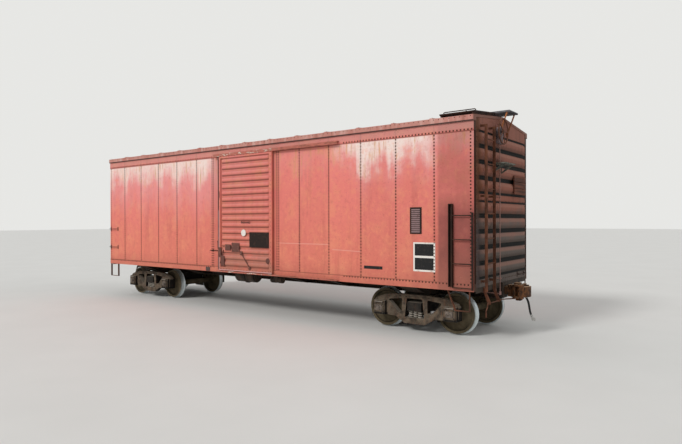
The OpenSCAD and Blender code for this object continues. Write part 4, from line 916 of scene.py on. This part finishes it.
def boardStraps():  # from the ends of the board down to the end walls
    bars = []
    foot, head = Vector((6.250, 0, 4.135 + railTop)), Vector((6.405, 0, boardLook["under"] + railTop))
    rise = head - foot
    for out in (-1, 1):
        for y in (-0.21, 0.21):
            lean = math.atan2(rise.x, rise.z) * out
            middle = (foot + head) / 2
            bars.append(((out * middle.x, y, middle.z), (0.016, 0.045, rise.length), (0, lean, 0)))
            bars.append(((out * 6.248, y, foot.z), (0.012, 0.045, 0.11), (0, 0, 0)))
    return bars


def cornerBoard(spin):
    look = boardLook
    bars = []
    lean = math.atan(look["slope"])
    y0, y1 = -1.330, -0.255
    wide = (y1 - y0) / math.cos(lean)
    middleY = (y0 + y1) / 2

    def overRoof(y, above):
        return look["ridge"] + above - look["slope"] * abs(y) + railTop

    for x in spaced(5.446, 6.174, 0.052):
        thick = 0.008 if x in (5.446, 6.174) else 0.006
        bars.append(((x, middleY, overRoof(middleY, 0.075)), (thick, wide - 0.004, 0.032), (lean, 0, 0)))
    for y in spaced(y0 + 0.006, y1 - 0.006, 0.082):
        bars.append(((5.81, y, overRoof(y, 0.079)), (0.738, 0.008, 0.022), (lean, 0, 0)))
    for x in (5.475, 6.145):
        bars.append(((x, middleY, overRoof(middleY, 0.041)), (0.030, wide - 0.01, 0.030), (lean, 0, 0)))
    turned = []
    for middle, span, tilt in bars:
        middle = Vector(middle)
        if spin < 0:
            middle, tilt = Vector((-middle.x, -middle.y, middle.z)), (-tilt[0], 0, 0)
        turned.append((middle, span, tilt))
    return turned


walk = show("roof_walk_grating", barMesh("roofWalk", runningBoard(), "gratingSteel"), "car_body")
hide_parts("running_board")
show("roof_walk_straps", barMesh("roofWalkStraps", boardStraps(), "strapRust"), "car_body")
corners = show("corner_walk_gratings", barMesh("cornerWalks", cornerBoard(1) + cornerBoard(-1), "darkRust"),
               "car_body")
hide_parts("corner_boards")
print("roof walk laid")

# journal lids and truck bolts

boxLook = {"lidY": 1.135, "pinZ": 0.556, "pinHalf": 0.10}


def truckSpots(centreX):
    spots = []
    for side in (-1, 1):
        for axle in (-1, 1):
            x = centreX + axle * truckLook["axleX"]
            y = side * boxLook["lidY"]
            for dx in (-0.10, 0.10):
                for z in (0.365, 0.52):
                    spots.append(((x + dx, y, z + railTop), (0, side, 0)))
        for dx in (-0.34, -0.20, 0.20, 0.34):
            spots.append(((centreX + dx, side * 1.05, 0.715 + railTop), (0, side, 0)))
    return spots


def journalLids(centreX):
    form = bmesh.new()
    for side in (-1, 1):
        for axle in (-1, 1):
            x, y = centreX + axle * truckLook["axleX"], side * boxLook["lidY"]
            near, far = sorted((y - side * 0.004, y + side * 0.016))
            blockInto(form, (x - 0.085, near, 0.375 + railTop), (x + 0.085, far, 0.50 + railTop))
            near, far = sorted((y, y + side * 0.024))
            blockInto(form, (x - 0.045, near, 0.405 + railTop), (x + 0.045, far, 0.47 + railTop))
            pinY, pinZ, half = y + side * 0.004, boxLook["pinZ"] + railTop, boxLook["pinHalf"]
            rodInto(form, (x - half, pinY, pinZ), (x + half, pinY, pinZ), 0.017, 12)
            for dx in (-0.105, 0.105):
                rodInto(form, (x + dx, y, 0.30 + railTop), (x + dx, y, 0.336 + railTop), 0.014, 8)
    return formMesh("journalLids", form, 0.006)


for truck, centreX in (("brake_truck", truckLook["centreX"]), ("plain_truck", -truckLook["centreX"])):
    show(truck + "_journal_lids", journalLids(centreX), truck, "lidIron")
    putStuds(truck + "_lid_bolts", truckSpots(centreX), truck, "truckIron", 0.014, 0.010, 6, 0.9)
print("trucks fitted")

# hoses

hosePath = [(6.612, .276, .757), (6.628, .274, .735), (6.643, .272, .711), (6.656, .270, .686),
            (6.667, .268, .660), (6.676, .266, .633), (6.683, .264, .605), (6.689, .262, .577),
            (6.694, .260, .549), (6.699, .258, .521), (6.704, .257, .493), (6.710, .256, .465),
            (6.717, .255, .438), (6.726, .254, .411), (6.737, .253, .385), (6.750, .252, .360)]
hoseLook = {"radius": 0.0215, "sides": 20, "bands": 0.024}


def hoseMesh(path):
    form = bmesh.new()
    rings = []
    for i, here in enumerate(path):
        ahead = path[min(i + 1, len(path) - 1)] - path[max(i - 1, 0)]
        aim = ahead.to_track_quat("Z", "Y").to_matrix()
        ring = [form.verts.new(here + aim @ Vector((math.cos(a), math.sin(a), 0)) * hoseLook["radius"])
                for a in (2 * math.pi * k / hoseLook["sides"] for k in range(hoseLook["sides"]))]
        rings.append(ring)
    n = hoseLook["sides"]
    for one, two in zip(rings, rings[1:]):
        for k in range(n):
            form.faces.new((one[k], one[(k + 1) % n], two[(k + 1) % n], two[k]))
    form.faces.new(rings[0][::-1])
    form.faces.new(rings[-1])
    return formMesh("hose", form)


def finePath(points, steps=3):
    points = [Vector(p) for p in points]
    path = []
    for i in range(len(points) - 1):
        p0, p1, p2, p3 = (points[max(i - 1, 0)], points[i], points[i + 1], points[min(i + 2, len(points) - 1)])
        for k in range(steps):
            t = k / steps
            path.append(0.5 * ((2 * p1) + (p2 - p0) * t + (2 * p0 - 5 * p1 + 4 * p2 - p3) * t * t
                               + (3 * p1 - p0 - 3 * p2 + p3) * t ** 3))
    path.append(points[-1])
    return path


for end, spin in (("brake_end", Matrix.Identity(4)), ("plain_end", halfTurn)):
    path = [spin @ p for p in finePath(hosePath)]
    length = sum((b - a).length for a, b in zip(path, path[1:]))
    hose = show(end + "_air_hose", hoseMesh(path), "car_body", "hoseRubber", True)
    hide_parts(end + "_hose")
    form = bmesh.new()
    for i in (2, 3, len(path) - 4, len(path) - 3):
        run = (path[i + 1] - path[i - 1]).normalized() * 0.008
        rodInto(form, path[i] - run, path[i] + run, hoseLook["bands"], 20)
    clamps = show(end + "_hose_clamps", formMesh("clamps", form, 0.001), "car_body", "hoseMetal")
print("hoses hung")

# floor, backdrop and light

floorMesh = bpy.data.meshes.new("paleFloor")
floorMesh.from_pydata([(-150, -150, 0), (150, -150, 0), (150, 150, 0), (-150, 150, 0)], [], [(0, 1, 2, 3)])
floor = bpy.data.objects.new("paleFloor", floorMesh)
scene.collection.objects.link(floor)
shader, w, place, x, y, z = startFinish("paleFloor", 0.9)
tint = w.noise(place, 0.6, 3)
feed(shader, "Base Color", w.mix(tint, (0.66, 0.65, 0.62), (0.72, 0.71, 0.68)))
floorMesh.materials.append(finishes["paleFloor"])

lightLook = {"sky": 0.62, "sun": 1.55, "sunSoft": 14.0, "fill": 0.25}
world = bpy.data.worlds.new("softSky")
world.use_nodes = True
scene.world = world
w = Wire(world.node_tree)
world.node_tree.nodes.clear()
seen = w.node("ShaderNodeLightPath", out=0)
skyLight = w.node("ShaderNodeBackground", {}, {"Color": (0.97, 0.985, 1.0, 1.0), "Strength": lightLook["sky"]})
skySeen = w.node("ShaderNodeBackground", {}, {"Color": (0.80, 0.80, 0.78, 1.0), "Strength": 1.0})
sky = w.node("ShaderNodeMixShader", {}, {0: seen, 1: skyLight, 2: skySeen})
worldOut = world.node_tree.nodes.new("ShaderNodeOutputWorld")
world.node_tree.links.new(sky.socket, worldOut.inputs[0])


def addSun(name, strength, towards, soft):
    lamp = bpy.data.lights.new(name, "SUN")
    lamp.energy = strength
    lamp.angle = math.radians(soft)
    sun = bpy.data.objects.new(name, lamp)
    sun.rotation_euler = Vector(towards).to_track_quat("-Z", "Y").to_euler()
    scene.collection.objects.link(sun)


addSun("keySun", lightLook["sun"], (0.25, 1.0, -0.75), lightLook["sunSoft"])
addSun("fillSun", lightLook["fill"], (-1.0, -0.4, -0.6), 40.0)

scene.view_settings.view_transform = "Standard"
